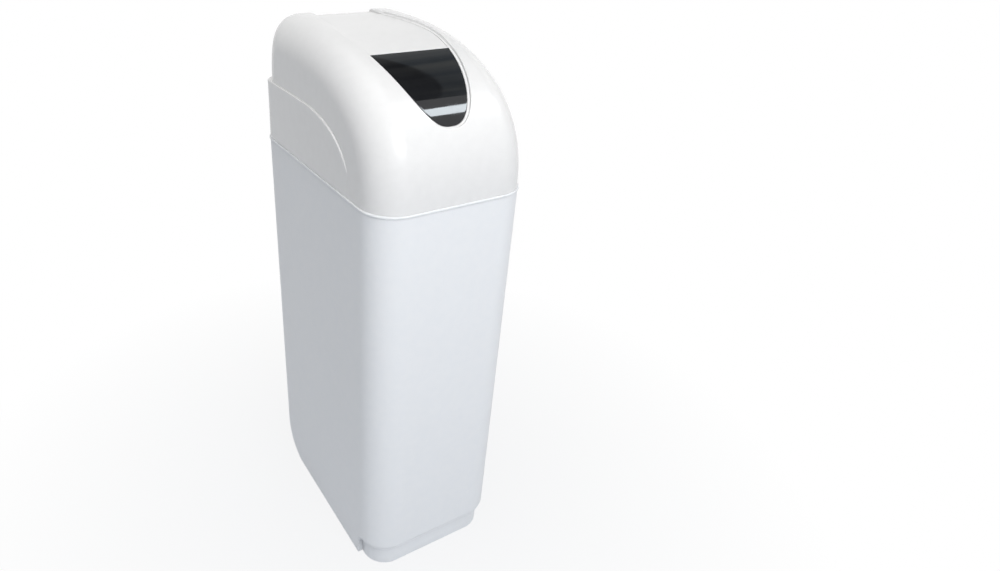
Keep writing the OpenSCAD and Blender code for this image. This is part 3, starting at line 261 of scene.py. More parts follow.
@dataclass(frozen=True)
class HoodForm:
    """Closed form of the hood's crown: two quarter superellipses with rolled long edges."""

    half_w: float = 0.160
    half_d: float = 0.2625
    seam_z: float = 0.8663
    height: float = 0.2489
    crest_y: float = 0.1255
    front_power: float = 2.475
    rear_power: float = 5.55
    edge_r: float = 0.064
    side_in: float = 0.001
    draft: float = 0.0237
    ledge: float = 0.020
    wall: float = 0.003

    def axes(self, front: Array) -> tuple[Array, Array]:
        """Power and half-axis along Y, for places ahead of the crest line or behind it."""
        rear_a = self.half_d - self.ledge - self.crest_y
        return (
            np.where(front, self.front_power, self.rear_power),
            np.where(front, self.crest_y + self.half_d, rear_a),
        )

    def profile(self, theta: Array, inset: Number) -> tuple[Array, Array]:
        """Middle line: y and z are the half-axes times cos and sin over their power norm.

        Args:
            theta: Angle from 0 at the front foot to pi at the rear foot.
            inset: How far both half-axes are set in.

        Returns:
            Y and Z.
        """
        front = theta <= QUARTER
        power, reach = self.axes(front)
        c, s = np.abs(np.cos(theta)), np.abs(np.sin(theta))
        norm = (c**power + s**power) ** (1.0 / power)
        y = self.crest_y + np.where(front, -1.0, 1.0) * (reach - inset) * c / norm
        return y, self.seam_z + (self.height - inset) * s / norm

    def side(self, z: Array) -> Array:
        """Half width at a height, with the draft taken off."""
        return self.half_w - self.side_in - self.draft * (z - self.seam_z)

    def skin(self, theta: Array, across: Array, inset: Number) -> Array:
        """Crown: 0 to 1 across is flat, 1 to 2 rolls over the edge, 2 to 3 closes down the side.

        Args:
            theta: Angle along the middle line.
            across: Signed place across the hood.
            inset: How far the skin lies inside the outer one.

        Returns:
            Positions with a last axis of 3.
        """
        far = np.abs(across)
        roll = np.clip(far - 1.0, 0.0, 1.0) * math.pi / 2
        close = np.clip(far - 2.0, 0.0, 1.0)
        edge = self.edge_r - inset
        y, z = self.profile(theta, inset + edge * (1.0 - np.cos(roll)))
        y = self.crest_y + (1.0 - close) * (y - self.crest_y)
        z = self.seam_z + (1.0 - close) * (z - self.seam_z)
        flat = self.side(z) - self.edge_r
        x = np.where(far < 1.0, far * flat, flat + edge * np.sin(roll))
        return stack(np.sign(across) * x, y, z)

    def inside(self, points: Array) -> Array:
        """Whether points lie inside the crown, by the same norm with the rolled edge's own inset.

        Args:
            points: Places with a last axis of 3.

        Returns:
            True for each that lies inside.
        """
        x, y, z = np.abs(points[..., 0]), points[..., 1], points[..., 2]
        over = np.clip(x - (self.side(z) - self.edge_r), 0.0, None)
        drop = self.edge_r - np.sqrt(np.clip(self.edge_r**2 - over**2, 0.0, None))
        power, reach = self.axes(y <= self.crest_y)
        rise = np.clip((z - self.seam_z) / (self.height - drop), 0.0, None)
        level = (np.abs(y - self.crest_y) / (reach - drop)) ** power + rise**power
        return level <= np.where(over < self.edge_r, 1.0, -1.0)


@dataclass
class LeafChart:
    """The hood's flat band unrolled: u runs along the middle line, v is X, depth goes inwards."""

    form: HoodForm
    tip_y: float = -0.2295
    wide_y: float = -0.0105
    straight_y: float = 0.168
    end_y: float = 0.19987
    half: float = 0.0865
    taper: float = 0.020
    nose_power: float = 1.6
    nose_blunt: float = 0.36
    taper_power: float = 1.1
    line_steps: int = 20001
    side_steps: int = 3000
    rear_steps: int = 400
    table: dict[str, Array] = field(default_factory=dict)

    def __post_init__(self) -> None:
        """Tabulates the middle line and its normals by its length."""
        theta = np.linspace(0.0, math.pi, self.line_steps)
        y, z = self.form.profile(theta, 0.0)
        u = run_length(stack(y, z))
        normal = {"ny": -np.gradient(z, u), "nz": np.gradient(y, u)}
        self.table = {"theta": theta, "y": y, "z": z, "u": u} | normal

    def look(self, at: Number, by: str, *wanted: str) -> list[Array]:
        """Columns of the table, read at places along one that rises."""
        return [np.interp(at, self.table[by], self.table[key]) for key in wanted]

    def u_at(self, y: Number) -> Array:
        """Length along the middle line at a place along Y."""
        return self.look(y, "y", "u")[0]

    def y_at(self, u: Array) -> Array:
        """Place along Y at a length along the middle line."""
        return self.look(u, "u", "y")[0]

    def theta_at(self, u: Array) -> Array:
        """Polar angle at a length along the middle line."""
        return self.look(u, "u", "theta")[0]

    def flat_at(self, u: Array) -> Array:
        """Half width of the flat band at a length along the middle line."""
        return self.form.side(self.look(u, "u", "z")[0]) - self.form.edge_r

    def lay(self, u: Array, v: Array, depth: Number) -> Array:
        """Lays unrolled points back on the hood, a depth below its cheeks along the normal."""
        y, z, ny, nz = self.look(u, "u", "y", "z", "ny", "nz")
        return stack(v, y - depth * ny, z - depth * nz)

    def half_at(self, y: Number) -> Array:
        """Half width of the leaf: a blunt power curve to the tip, a slow taper to the hinge.

        Args:
            y: Places along Y.

        Returns:
            Half widths.
        """
        ahead = np.clip((self.wide_y - y) / (self.wide_y - self.tip_y), 0.0, 1.0)
        behind = np.clip((y - self.wide_y) / (self.straight_y - self.wide_y), 0.0, 1.0)
        nose = self.half * (1.0 - ahead**self.nose_power) ** self.nose_blunt
        return np.where(y < self.wide_y, nose, self.half - self.taper * behind**self.taper_power)

    def rim(self, corner_r: float) -> Array:
        """Closed outline of the leaf in u and v, from the rear middle round by the +X side.

        Args:
            corner_r: Reach of the rounding at the rear corners.

        Returns:
            (n, 2) points, the first repeated at the end.
        """
        along = np.linspace(0.0, 1.0, self.side_steps) ** 2
        y = self.tip_y + (self.end_y - self.tip_y) * along
        side = stack(self.u_at(y), self.half_at(y))[::-1]
        rear = np.linspace(0.0, side[0, 1], self.rear_steps, endpoint=False)
        half = np.concatenate([stack(side[0, 0], rear), side])
        other = half[::-1][1:] * [1.0, -1.0]
        return round_outline(np.concatenate([half, other]), corner_r)


@dataclass(frozen=True)
class PlanPath:
    """Rounded-rectangle plan of the cabinet, walked from the rear middle round by the +X side."""

    half_w: float = 0.160
    half_d: float = 0.2625
    corner_r: float = 0.064
    rear_r: float | None = None
    hold_y: float = 0.05

    def half(
        self, side_y: Array, corner_steps: int, rear_x: Array, front_x: Array | None = None
    ) -> tuple[Array, Array]:
        """Points of the +X half, rear to front; larger rear corners push what is behind hold_y.

        Args:
            side_y: Places along the straight side, rear to front.
            corner_steps: Points in a corner.
            rear_x: Places along the straight rear, middle outwards.
            front_x: Those along the front, where they differ from the rear's.

        Returns:
            (n, 2) points and (n, 2) inward normals.
        """
        front_x = rear_x if front_x is None else front_x
        rear_r = self.rear_r or self.corner_r
        hold, cx, cy = self.hold_y, self.half_w - self.corner_r, self.half_d - self.corner_r
        rx, ry = self.half_w - rear_r, self.half_d - rear_r
        turn = np.linspace(QUARTER, 0.0, corner_steps)
        arc = stack(np.cos(turn), np.sin(turn))
        fore = arc[::-1] * [1.0, -1.0]
        pushed = hold + (side_y - hold) * (ry - hold) / (cy - hold)
        walks = (
            (stack(rear_x * rx / cx, self.half_d), [0.0, -1.0]),
            ([rx, ry] + rear_r * arc, -arc),
            (stack(self.half_w, np.where(side_y > hold, pushed, side_y)), [-1.0, 0.0]),
            ([cx, -cy] + self.corner_r * fore, -fore),
            (stack(front_x[::-1], -self.half_d), [0.0, 1.0]),
        )
        points = np.concatenate([walk for walk, _ in walks])
        return points, np.concatenate([np.broadcast_to(way, walk.shape) for walk, way in walks])

    def whole(self, *walk: Array | int) -> tuple[Array, Array]:
        """Points and inward normals of both halves, from what half takes."""
        halves = self.half(*walk)
        return tuple(np.concatenate([half, half[::-1] * [-1.0, 1.0]]) for half in halves)


# Finishes


class NodeKit:
    """Short hands for building one node tree."""

    def __init__(self, tree: bpy.types.NodeTree) -> None:
        """Keeps the tree."""
        self.tree = tree

    def feed(self, value: object, to: Socket) -> None:
        """Links a socket to an input, or sets the input's own value.

        Args:
            value: A socket, a number, a vector or a colour.
            to: The input.
        """
        if isinstance(value, Socket):
            self.tree.links.new(value, to)
        else:
            to.default_value = (*value[:3], 1.0) if to.type == "RGBA" else value

    def fill(self, node: Node, feeds: Feeds) -> None:
        """Feeds several inputs of a node."""
        for key, value in feeds.items():
            self.feed(value, node.inputs[key])

    def add(self, kind: str, feeds: Feeds | None = None, **settings: object) -> Node:
        """Adds a node.

        Args:
            kind: Its type.
            feeds: What goes into its inputs.
            settings: Its properties.

        Returns:
            The node.
        """
        node = self.tree.nodes.new(kind)
        for key, value in settings.items():
            setattr(node, key, value)
        self.fill(node, feeds or {})
        return node

    def noise(self, vector: Socket, scale: object, detail: float) -> Socket:
        """Noise value of a scale on a vector."""
        feeds = {"Vector": vector, "Scale": scale, "Detail": detail}
        return self.add("ShaderNodeTexNoise", feeds).outputs["Fac"]

    def mix(self, factor: Socket, a: object, b: object) -> Socket:
        """Colour between two.

        Args:
            factor: Share of the second.
            a: First colour or socket.
            b: Second colour or socket.

        Returns:
            The mixed colour.
        """
        node = self.add("ShaderNodeMix", {"Factor": factor}, data_type="RGBA")
        for name, value in (("A", a), ("B", b)):
            self.feed(value, next(s for s in node.inputs if s.name == name and s.type == "RGBA"))
        return next(s for s in node.outputs if s.type == "RGBA")

    def remap(
        self, value: Socket, low: float, high: float, to_low: float = 0.0, to_high: float = 1.0
    ) -> Socket:
        """Clamped linear remap of a value."""
        span = {"From Min": low, "From Max": high, "To Min": to_low, "To Max": to_high}
        return self.add("ShaderNodeMapRange", {"Value": value} | span).outputs["Result"]

    def math(self, operation: str, a: object, b: object = 0.0) -> Socket:
        """Math node on sockets or numbers."""
        return self.add("ShaderNodeMath", {0: a, 1: b}, operation=operation).outputs[0]

    def measure(self, operation: str, *vectors: object) -> Socket:
        """Number that a vector math node makes of its vectors."""
        feeds = dict(enumerate(vectors))
        return self.add("ShaderNodeVectorMath", feeds, operation=operation).outputs["Value"]

    def bump(self, height: Socket, distance: float, normal: Socket | None = None) -> Socket:
        """Normal bumped by a height, over another normal if one is given."""
        feeds = {"Height": height, "Distance": distance} | ({"Normal": normal} if normal else {})
        return self.add("ShaderNodeBump", feeds).outputs["Normal"]

    def coords(self) -> Socket:
        """Object coordinates, which are the CAD frame's metres."""
        return self.add("ShaderNodeTexCoord").outputs["Object"]

    def seen(self) -> Socket:
        """1 for the rays that show the surround: from the camera, in gloss and through glass."""
        path = self.add("ShaderNodeLightPath").outputs
        shown = self.math("MAXIMUM", path["Is Camera Ray"], path["Is Glossy Ray"])
        return self.math("MAXIMUM", shown, path["Is Transmission Ray"])


def new_material(name: str) -> tuple[Material, NodeKit, Node]:
    """Makes a material.

    Args:
        name: Its name.
    """
    material = bpy.data.materials.new(name)
    material.use_nodes = True
    return material, NodeKit(material.node_tree), material.node_tree.nodes["Principled BSDF"]


def new_group(
    name: str, inputs: dict[str, object], outputs: dict[str, str]
) -> tuple[NodeKit, bpy.types.NodeOutputs, bpy.types.NodeInputs]:
    """Makes a shader node group.

    Args:
        name: Its name.
        inputs: Socket name to its default, a number or a colour.
        outputs: Socket name to its type.
    """
    tree = bpy.data.node_groups.new(name, "ShaderNodeTree")
    for key, default in inputs.items():
        kind = FLOAT if isinstance(default, float) else COLOR
        tree.interface.new_socket(key, in_out="INPUT", socket_type=kind).default_value = default
    for key, kind in outputs.items():
        tree.interface.new_socket(key, in_out="OUTPUT", socket_type=kind)
    source, sink = tree.nodes.new("NodeGroupInput"), tree.nodes.new("NodeGroupOutput")
    return NodeKit(tree), source.outputs, sink.inputs


class Effects:
    """Shader node groups that several finishes share."""

    def __init__(self) -> None:
        """Builds each group once."""
        self.moulded = self._moulded()
        # Darkening in hollows and between parts, as dust and painted shade.
        self.dust_and_shade = self._darkening_group("HollowDustAndShade", False, 0.35, 0.95)
        # Painted shade on the cabinet where its own walls shut it in, chiefly the shadow line under
        # the toe overhang.
        self.toe_painted_shade = self._darkening_group("ToePaintedShade", True, 0.72, 0.97)
        self.edges = self._edges()

    def _moulded(self) -> bpy.types.NodeTree:
        """Moulded plastic: fine grain and slow waves as a height, and a roughness with mottles.

        Returns:
            The group.
        """
        surface = {"Grain Scale": 900.0, "Grain": 0.3, "Wave Scale": 14.0, "Wave": 0.5}
        kit, given, out = new_group(
            "MouldedSurface",
            surface | {"Roughness": 0.3, "Spread": 0.06},
            {"Height": FLOAT, "Roughness": FLOAT, "Mottle": FLOAT},
        )
        coords = kit.coords()
        fine = kit.math("MULTIPLY", kit.noise(coords, given["Grain Scale"], 2.0), given["Grain"])
        slow = kit.math("MULTIPLY", kit.noise(coords, given["Wave Scale"], 1.0), given["Wave"])
        mottle = kit.noise(coords, 60.0, 4.0)
        offset = kit.math("MULTIPLY", kit.math("SUBTRACT", mottle, 0.5), given["Spread"])
        kit.feed(kit.math("ADD", fine, slow), out["Height"])
        kit.feed(mottle, out["Mottle"])
        kit.feed(kit.math("ADD", given["Roughness"], offset), out["Roughness"])
        return kit.tree

    def _darkening_group(self, name: str, own: bool, shut_at: float, open_at: float) -> bpy.types.NodeTree:
        """Darkening in hollows, as dust and painted shade: a colour that darkens where the surface
        is shut in, in patches.

        Args:
            name: Name of the group.
            own: Whether only the piece's own walls shut it in.
            shut_at: Openness at which the darkening is full.
            open_at: Openness at which it has gone.

        Returns:
            The group.
        """
        colors = {"Color": (0.8, 0.8, 0.8, 1.0), "Dust And Shade Color": (0.4, 0.38, 0.34, 1.0)}
        kit, given, out = new_group(
            name, colors | {"Reach": 0.012, "Amount": 0.35}, {"Color": COLOR}
        )
        near = {"Distance": given["Reach"]}
        # Ambient occlusion stands in for shade: the colour darkens where light is shut out.
        hollow = kit.add("ShaderNodeAmbientOcclusion", near, samples=6, only_local=own)
        shut = kit.remap(hollow.outputs["AO"], shut_at, open_at, 1.0, 0.0)
        patchy = kit.remap(kit.noise(kit.coords(), 45.0, 5.0), 0.3, 0.7, 0.5, 1.0)
        mask = kit.math("MULTIPLY", kit.math("MULTIPLY", shut, patchy), given["Amount"])
        kit.feed(kit.mix(mask, given["Color"], given["Dust And Shade Color"]), out["Color"])
        return kit.tree

    def _edges(self) -> bpy.types.NodeTree:
        """Rounded edges: a softened normal, and a broken mask where it leaves the true one.

        Returns:
            The group.
        """
        kit, given, out = new_group(
            "EdgeWear", {"Radius": 0.0006, "Amount": 0.6}, {"Normal": VECTOR, "Mask": FLOAT}
        )
        radius = {"Radius": given["Radius"]}
        soft = kit.add("ShaderNodeBevel", radius, samples=4).outputs["Normal"]
        true = kit.add("ShaderNodeNewGeometry").outputs["Normal"]
        edge = kit.remap(kit.measure("DOT_PRODUCT", soft, true), 0.86, 0.99, 1.0, 0.0)
        broken = kit.remap(kit.noise(kit.coords(), 220.0, 4.0), 0.4, 0.6, 0.2, 1.0)
        mask = kit.math("MULTIPLY", kit.math("MULTIPLY", edge, broken), given["Amount"])
        kit.feed(mask, out["Mask"])
        kit.feed(soft, out["Normal"])
        return kit.tree


@dataclass(frozen=True)
class Plastic:
    """A moulded plastic: its colour, gloss and surface."""

    name: str
    color: Triple
    roughness: float = 0.35
    spread: float = 0.06
    grain_scale: float = 900.0
    grain: float = 0.3
    wave_scale: float = 14.0
    wave: float = 0.3
    bump: float = 0.00003
    coat: float = 0.0
    coat_roughness: float = 0.06
    # Amount and reach of the darkening in hollows, which is dust and painted shade.
    dust_and_shade: float = 0.3
    reach: float = 0.012
    metallic: float = 0.0
    subsurface: float = 0.0
    edge: float = 0.0005
    wear: float = 0.35
    shade: Triple | None = None
    # own picks the cabinet's painted toe shade, where only its own walls shut it in.
    own: bool = False

    def build(self, effects: Effects) -> Material:
        """Makes the material: mottled colour, darkened in hollows as dust and painted shade, pale
        edges and a grain bump.

        Args:
            effects: The shared node groups.

        Returns:
            The material.
        """
        material, kit, shader = new_material(self.name)
        form = {
            "Grain Scale": self.grain_scale,
            "Grain": self.grain,
            "Wave Scale": self.wave_scale,
            "Wave": self.wave,
            "Roughness": self.roughness,
            "Spread": self.spread,
        }
        surface = kit.add("ShaderNodeGroup", form, node_tree=effects.moulded).outputs
        dark = self.shade or tuple(0.93 * c for c in self.color)
        # Darker colour in hollows and between parts: dust and painted shade.
        darkening_feeds = {
            "Color": kit.mix(kit.remap(surface["Mottle"], 0.35, 0.65), self.color, dark),
            "Dust And Shade Color": tuple(0.45 * c + 0.02 for c in self.color),
            "Reach": self.reach,
            "Amount": self.dust_and_shade,
        }
        hollows = effects.toe_painted_shade if self.own else effects.dust_and_shade
        darkened_color = kit.add("ShaderNodeGroup", darkening_feeds, node_tree=hollows).outputs["Color"]
        worn = {"Radius": self.edge, "Amount": self.wear}
        edges = kit.add("ShaderNodeGroup", worn, node_tree=effects.edges).outputs
        pale = tuple(min(1.0, 1.12 * c + 0.05) for c in self.color)
        looks = {
            "Base Color": kit.mix(edges["Mask"], darkened_color, pale),
            "Roughness": surface["Roughness"],
            "Normal": kit.bump(surface["Height"], self.bump, edges["Normal"]),
            "Metallic": self.metallic,
            "Coat Weight": self.coat,
            "Coat Roughness": self.coat_roughness,
            "Subsurface Weight": self.subsurface,
            "Subsurface Radius": (0.004, 0.004, 0.004),
        }
        kit.fill(shader, looks)
        return material


def ink(name: str, color: Triple, roughness: float = 0.3, metallic: float = 0.0) -> Plastic:
    """Finish of a print: a fine grain, little wear and little darkening in hollows, which is dust
    and painted shade.
    """
    fine = {"dust_and_shade": 0.1, "wear": 0.1, "metallic": metallic}
    return Plastic(name, color, roughness, 0.1, 1200.0, 0.4, **fine)


@dataclass(frozen=True)
class FacePrint:
    """Printed face behind the knobs: teal, paling to the top and bottom edges."""

    name: str = "face_teal_print"
    middle: Triple = (0.012, 0.36, 0.37)
    pale: Triple = (0.42, 0.66, 0.70)
    centre_z: float = 1.0084
    half: float = 0.046
    roughness: float = 0.3
    bump: float = 0.00004

    def build(self, effects: Effects) -> Material:
        """Makes the print: colour by height, a fine screen grain and a satin varnish.

        Args:
            effects: The shared node groups.

        Returns:
            The material.
        """
        material, kit, shader = new_material(self.name)
        coords = kit.coords()
        height = kit.add("ShaderNodeSeparateXYZ", {0: coords}).outputs["Z"]
        off = kit.math("ABSOLUTE", kit.math("SUBTRACT", height, self.centre_z))
        share = kit.math("POWER", kit.remap(off, 0.25 * self.half, self.half), 1.4)
        grain = kit.remap(kit.noise(coords, 1400.0, 2.0), 0.3, 0.7, -0.06, 0.06)
        varnish = {"Roughness": self.roughness}
        surface = kit.add("ShaderNodeGroup", varnish, node_tree=effects.moulded).outputs
        looks = {
            "Base Color": kit.mix(kit.math("ADD", share, grain), self.middle, self.pale),
            "Roughness": surface["Roughness"],
            "Normal": kit.bump(surface["Height"], self.bump),
        }
        kit.fill(shader, looks)
        return material


@dataclass(frozen=True)
class TankWrap:
    """Glass-fibre winding on the resin tank under a blue gel coat."""

    name: str = "tank_fibre_wrap"
    color: Triple = (0.030, 0.085, 0.165)
    pale: Triple = (0.055, 0.125, 0.215)
    axis: Pair = (0.0, 0.120)
    bands: float = 17.0
    climb: float = 150.0
    bump: float = 0.0005

    def build(self, effects: Effects) -> Material:
        """Makes two crossing sets of bands, each a sine of the angle round the axis and the height.

        Args:
            effects: The shared node groups.

        Returns:
            The material.
        """
        material, kit, shader = new_material(self.name)
        place = kit.add("ShaderNodeSeparateXYZ", {0: kit.coords()}).outputs
        x, y = (kit.math("SUBTRACT", place[k], self.axis[k]) for k in range(2))
        around = kit.math("MULTIPLY", kit.math("ARCTAN2", y, x), self.bands)
        height = kit.math("MULTIPLY", place["Z"], self.climb)
        ways = (kit.math(way, around, height) for way in ("ADD", "SUBTRACT"))
        weave = kit.math("MAXIMUM", *(kit.math("SINE", way) for way in ways))
        gel = {"Roughness": 0.34, "Spread": 0.2, "Grain Scale": 260.0}
        surface = kit.add("ShaderNodeGroup", gel, node_tree=effects.moulded).outputs
        share = kit.math("MULTIPLY", kit.remap(weave, -0.2, 1.0), surface["Mottle"])
        relief = kit.math("ADD", kit.math("MULTIPLY", weave, 0.5), surface["Height"])
        looks = {
            "Base Color": kit.mix(share, self.color, self.pale),
            "Roughness": surface["Roughness"],
            "Normal": kit.bump(relief, self.bump),
            "Coat Weight": 0.5,
            "Coat Roughness": 0.12,
        }
        kit.fill(shader, looks)
        return material


@dataclass(frozen=True)
class SmokedAcrylic:
    """Near-black clear sheet of the lid's window."""

    name: str = "smoked_window"
    color: Triple = (0.008, 0.0085, 0.010)
    smear: float = 1.5
    ior: float = 1.49

    def build(self, effects: Effects) -> Material:
        """Makes a dark glossy sheet with faint handling smears in its roughness.

        Args:
            effects: The shared node groups, of which it needs none.

        Returns:
            The material.
        """
        material, kit, shader = new_material(self.name)
        smear = kit.noise(kit.coords(), 22.0, 5.0)
        hazy = tuple(self.smear * c for c in self.color)
        looks = {
            "Base Color": kit.mix(kit.remap(smear, 0.3, 0.7), self.color, hazy),
            "Roughness": kit.remap(smear, 0.4, 0.75, 0.03, 0.10),
            "IOR": self.ior,
        }
        kit.fill(shader, looks)
        return material


FINISHES: dict[Slot | Ink, Plastic | FacePrint | TankWrap | SmokedAcrylic] = {
    # The cabinet's darkening is painted shade: the shadow line under its toe overhang, from its own
    # walls only.
    Slot.CABINET: Plastic(
        "cabinet_satin_white", (0.885, 0.90, 0.918), 0.40, 0.06, 700.0, 0.5, 6.0, 0.6, 0.00008,
        dust_and_shade=0.48, reach=0.035, shade=(0.872, 0.89, 0.912), edge=0.0008, wear=0.2, own=True,
    ),
    Slot.HOOD: Plastic(
        "hood_gloss_white", (0.83, 0.829, 0.826), 0.20, 0.06, 500.0, 0.25, 5.0, 0.6, 0.00005,
        coat=0.1, dust_and_shade=0.06, reach=0.005, shade=(0.815, 0.814, 0.811), edge=0.0008, wear=0.2,
    ),
    Slot.BROWN: Plastic(
        "valve_dark_brown", (0.032, 0.025, 0.022), 0.42, 0.2, 500.0, 0.9, bump=0.00015, dust_and_shade=0.5
    ),
    Slot.BLACK: Plastic(
        "timer_black", (0.017, 0.018, 0.019), 0.36, 0.14, 800.0, 0.7, bump=0.00008, dust_and_shade=0.4
    ),
    Slot.GREY: Plastic("cover_grey", (0.36, 0.37, 0.38), 0.4, 0.1, 800.0, 0.6, bump=0.00006),
    Slot.NATURAL: Plastic(
        "natural_plastic", (0.78, 0.76, 0.68), 0.45, 0.1, 400.0, 0.5, bump=0.0001, subsurface=0.1
    ),
    Slot.TUBE: Plastic(
        "brine_tube", (0.72, 0.74, 0.72), 0.2, 0.06, 500.0, 0.2, coat=0.4, subsurface=0.15
    ),
    Slot.LABEL: Plastic("label_white", (0.82, 0.82, 0.80), 0.3, 0.08, 900.0, 0.3),
    Slot.DIAL: Plastic("dial_black", (0.02, 0.021, 0.023), 0.34, 0.1, 900.0, 0.5),
    Slot.RED: Plastic("button_red", (0.60, 0.045, 0.02), 0.22, 0.06, 700.0, 0.3, coat=0.3),
    Slot.RESIN: Plastic("resin_beads", (0.30, 0.12, 0.02), 0.3, 0.1, 1600.0, 1.0, bump=0.0006),
    Slot.STEEL: Plastic("brushed_steel", (0.60, 0.60, 0.62), 0.3, 0.15, 900.0, 0.4, metallic=1.0),
    Slot.RUBBER: Plastic("seal_rubber", (0.014, 0.014, 0.014), 0.7, 0.1, 900.0, 0.6),
    Slot.WINDOW: SmokedAcrylic(),
    Slot.TEAL: FacePrint(),
    Slot.TANK: TankWrap(),
    Ink.WHITE: ink("ink_white", (0.80, 0.80, 0.79), 0.35),
    Ink.BLACK: ink("ink_black", (0.012, 0.012, 0.013), 0.4),
    Ink.GREEN: ink("ink_green", (0.01, 0.36, 0.24)),
    Ink.RED: ink("ink_red", (0.58, 0.02, 0.02)),
    Ink.BLUE: ink("ink_blue", (0.05, 0.19, 0.55)),
    Ink.SILVER: ink("ink_silver", (0.52, 0.52, 0.53), metallic=0.8),
}


class Wardrobe:
    """Builds each finish once and dresses pieces and CAD nodes with it."""

    def __init__(self) -> None:
        """Builds the shared effects and every material."""
        effects = Effects()
        self.materials = {key: finish.build(effects) for key, finish in FINISHES.items()}

    def dress(self, piece: Piece, look: Slot | Ink) -> None:
        """Gives a piece one material."""
        piece.data.materials.clear()
        piece.data.materials.append(self.materials[look])

    def dress_nodes(self) -> None:
        """Dresses every CAD node by the slot that the record gives it."""
        for part in frame["record"]["subparts"]:
            self.dress(frame["nodes"][part["node"]], Slot(part["material_slot"]))

    def finish(self, piece: Piece, look: Slot | Ink, body: Body, *replaced: str) -> None:
        """Dresses a new piece by its slot, sets its body, and hides the nodes that it stands for.

        Args:
            piece: The new piece.
            look: Its material slot, or the ink of a print.
            body: The CAD body that it rides on.
            replaced: CAD nodes that it stands for.
        """
        self.dress(piece, look)
        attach(piece, body.value)
        if replaced:
            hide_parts(*replaced)
        LOG.info("%s: %d faces on %s", piece.name, len(piece.data.polygons), body.value)


# Sub-assemblies


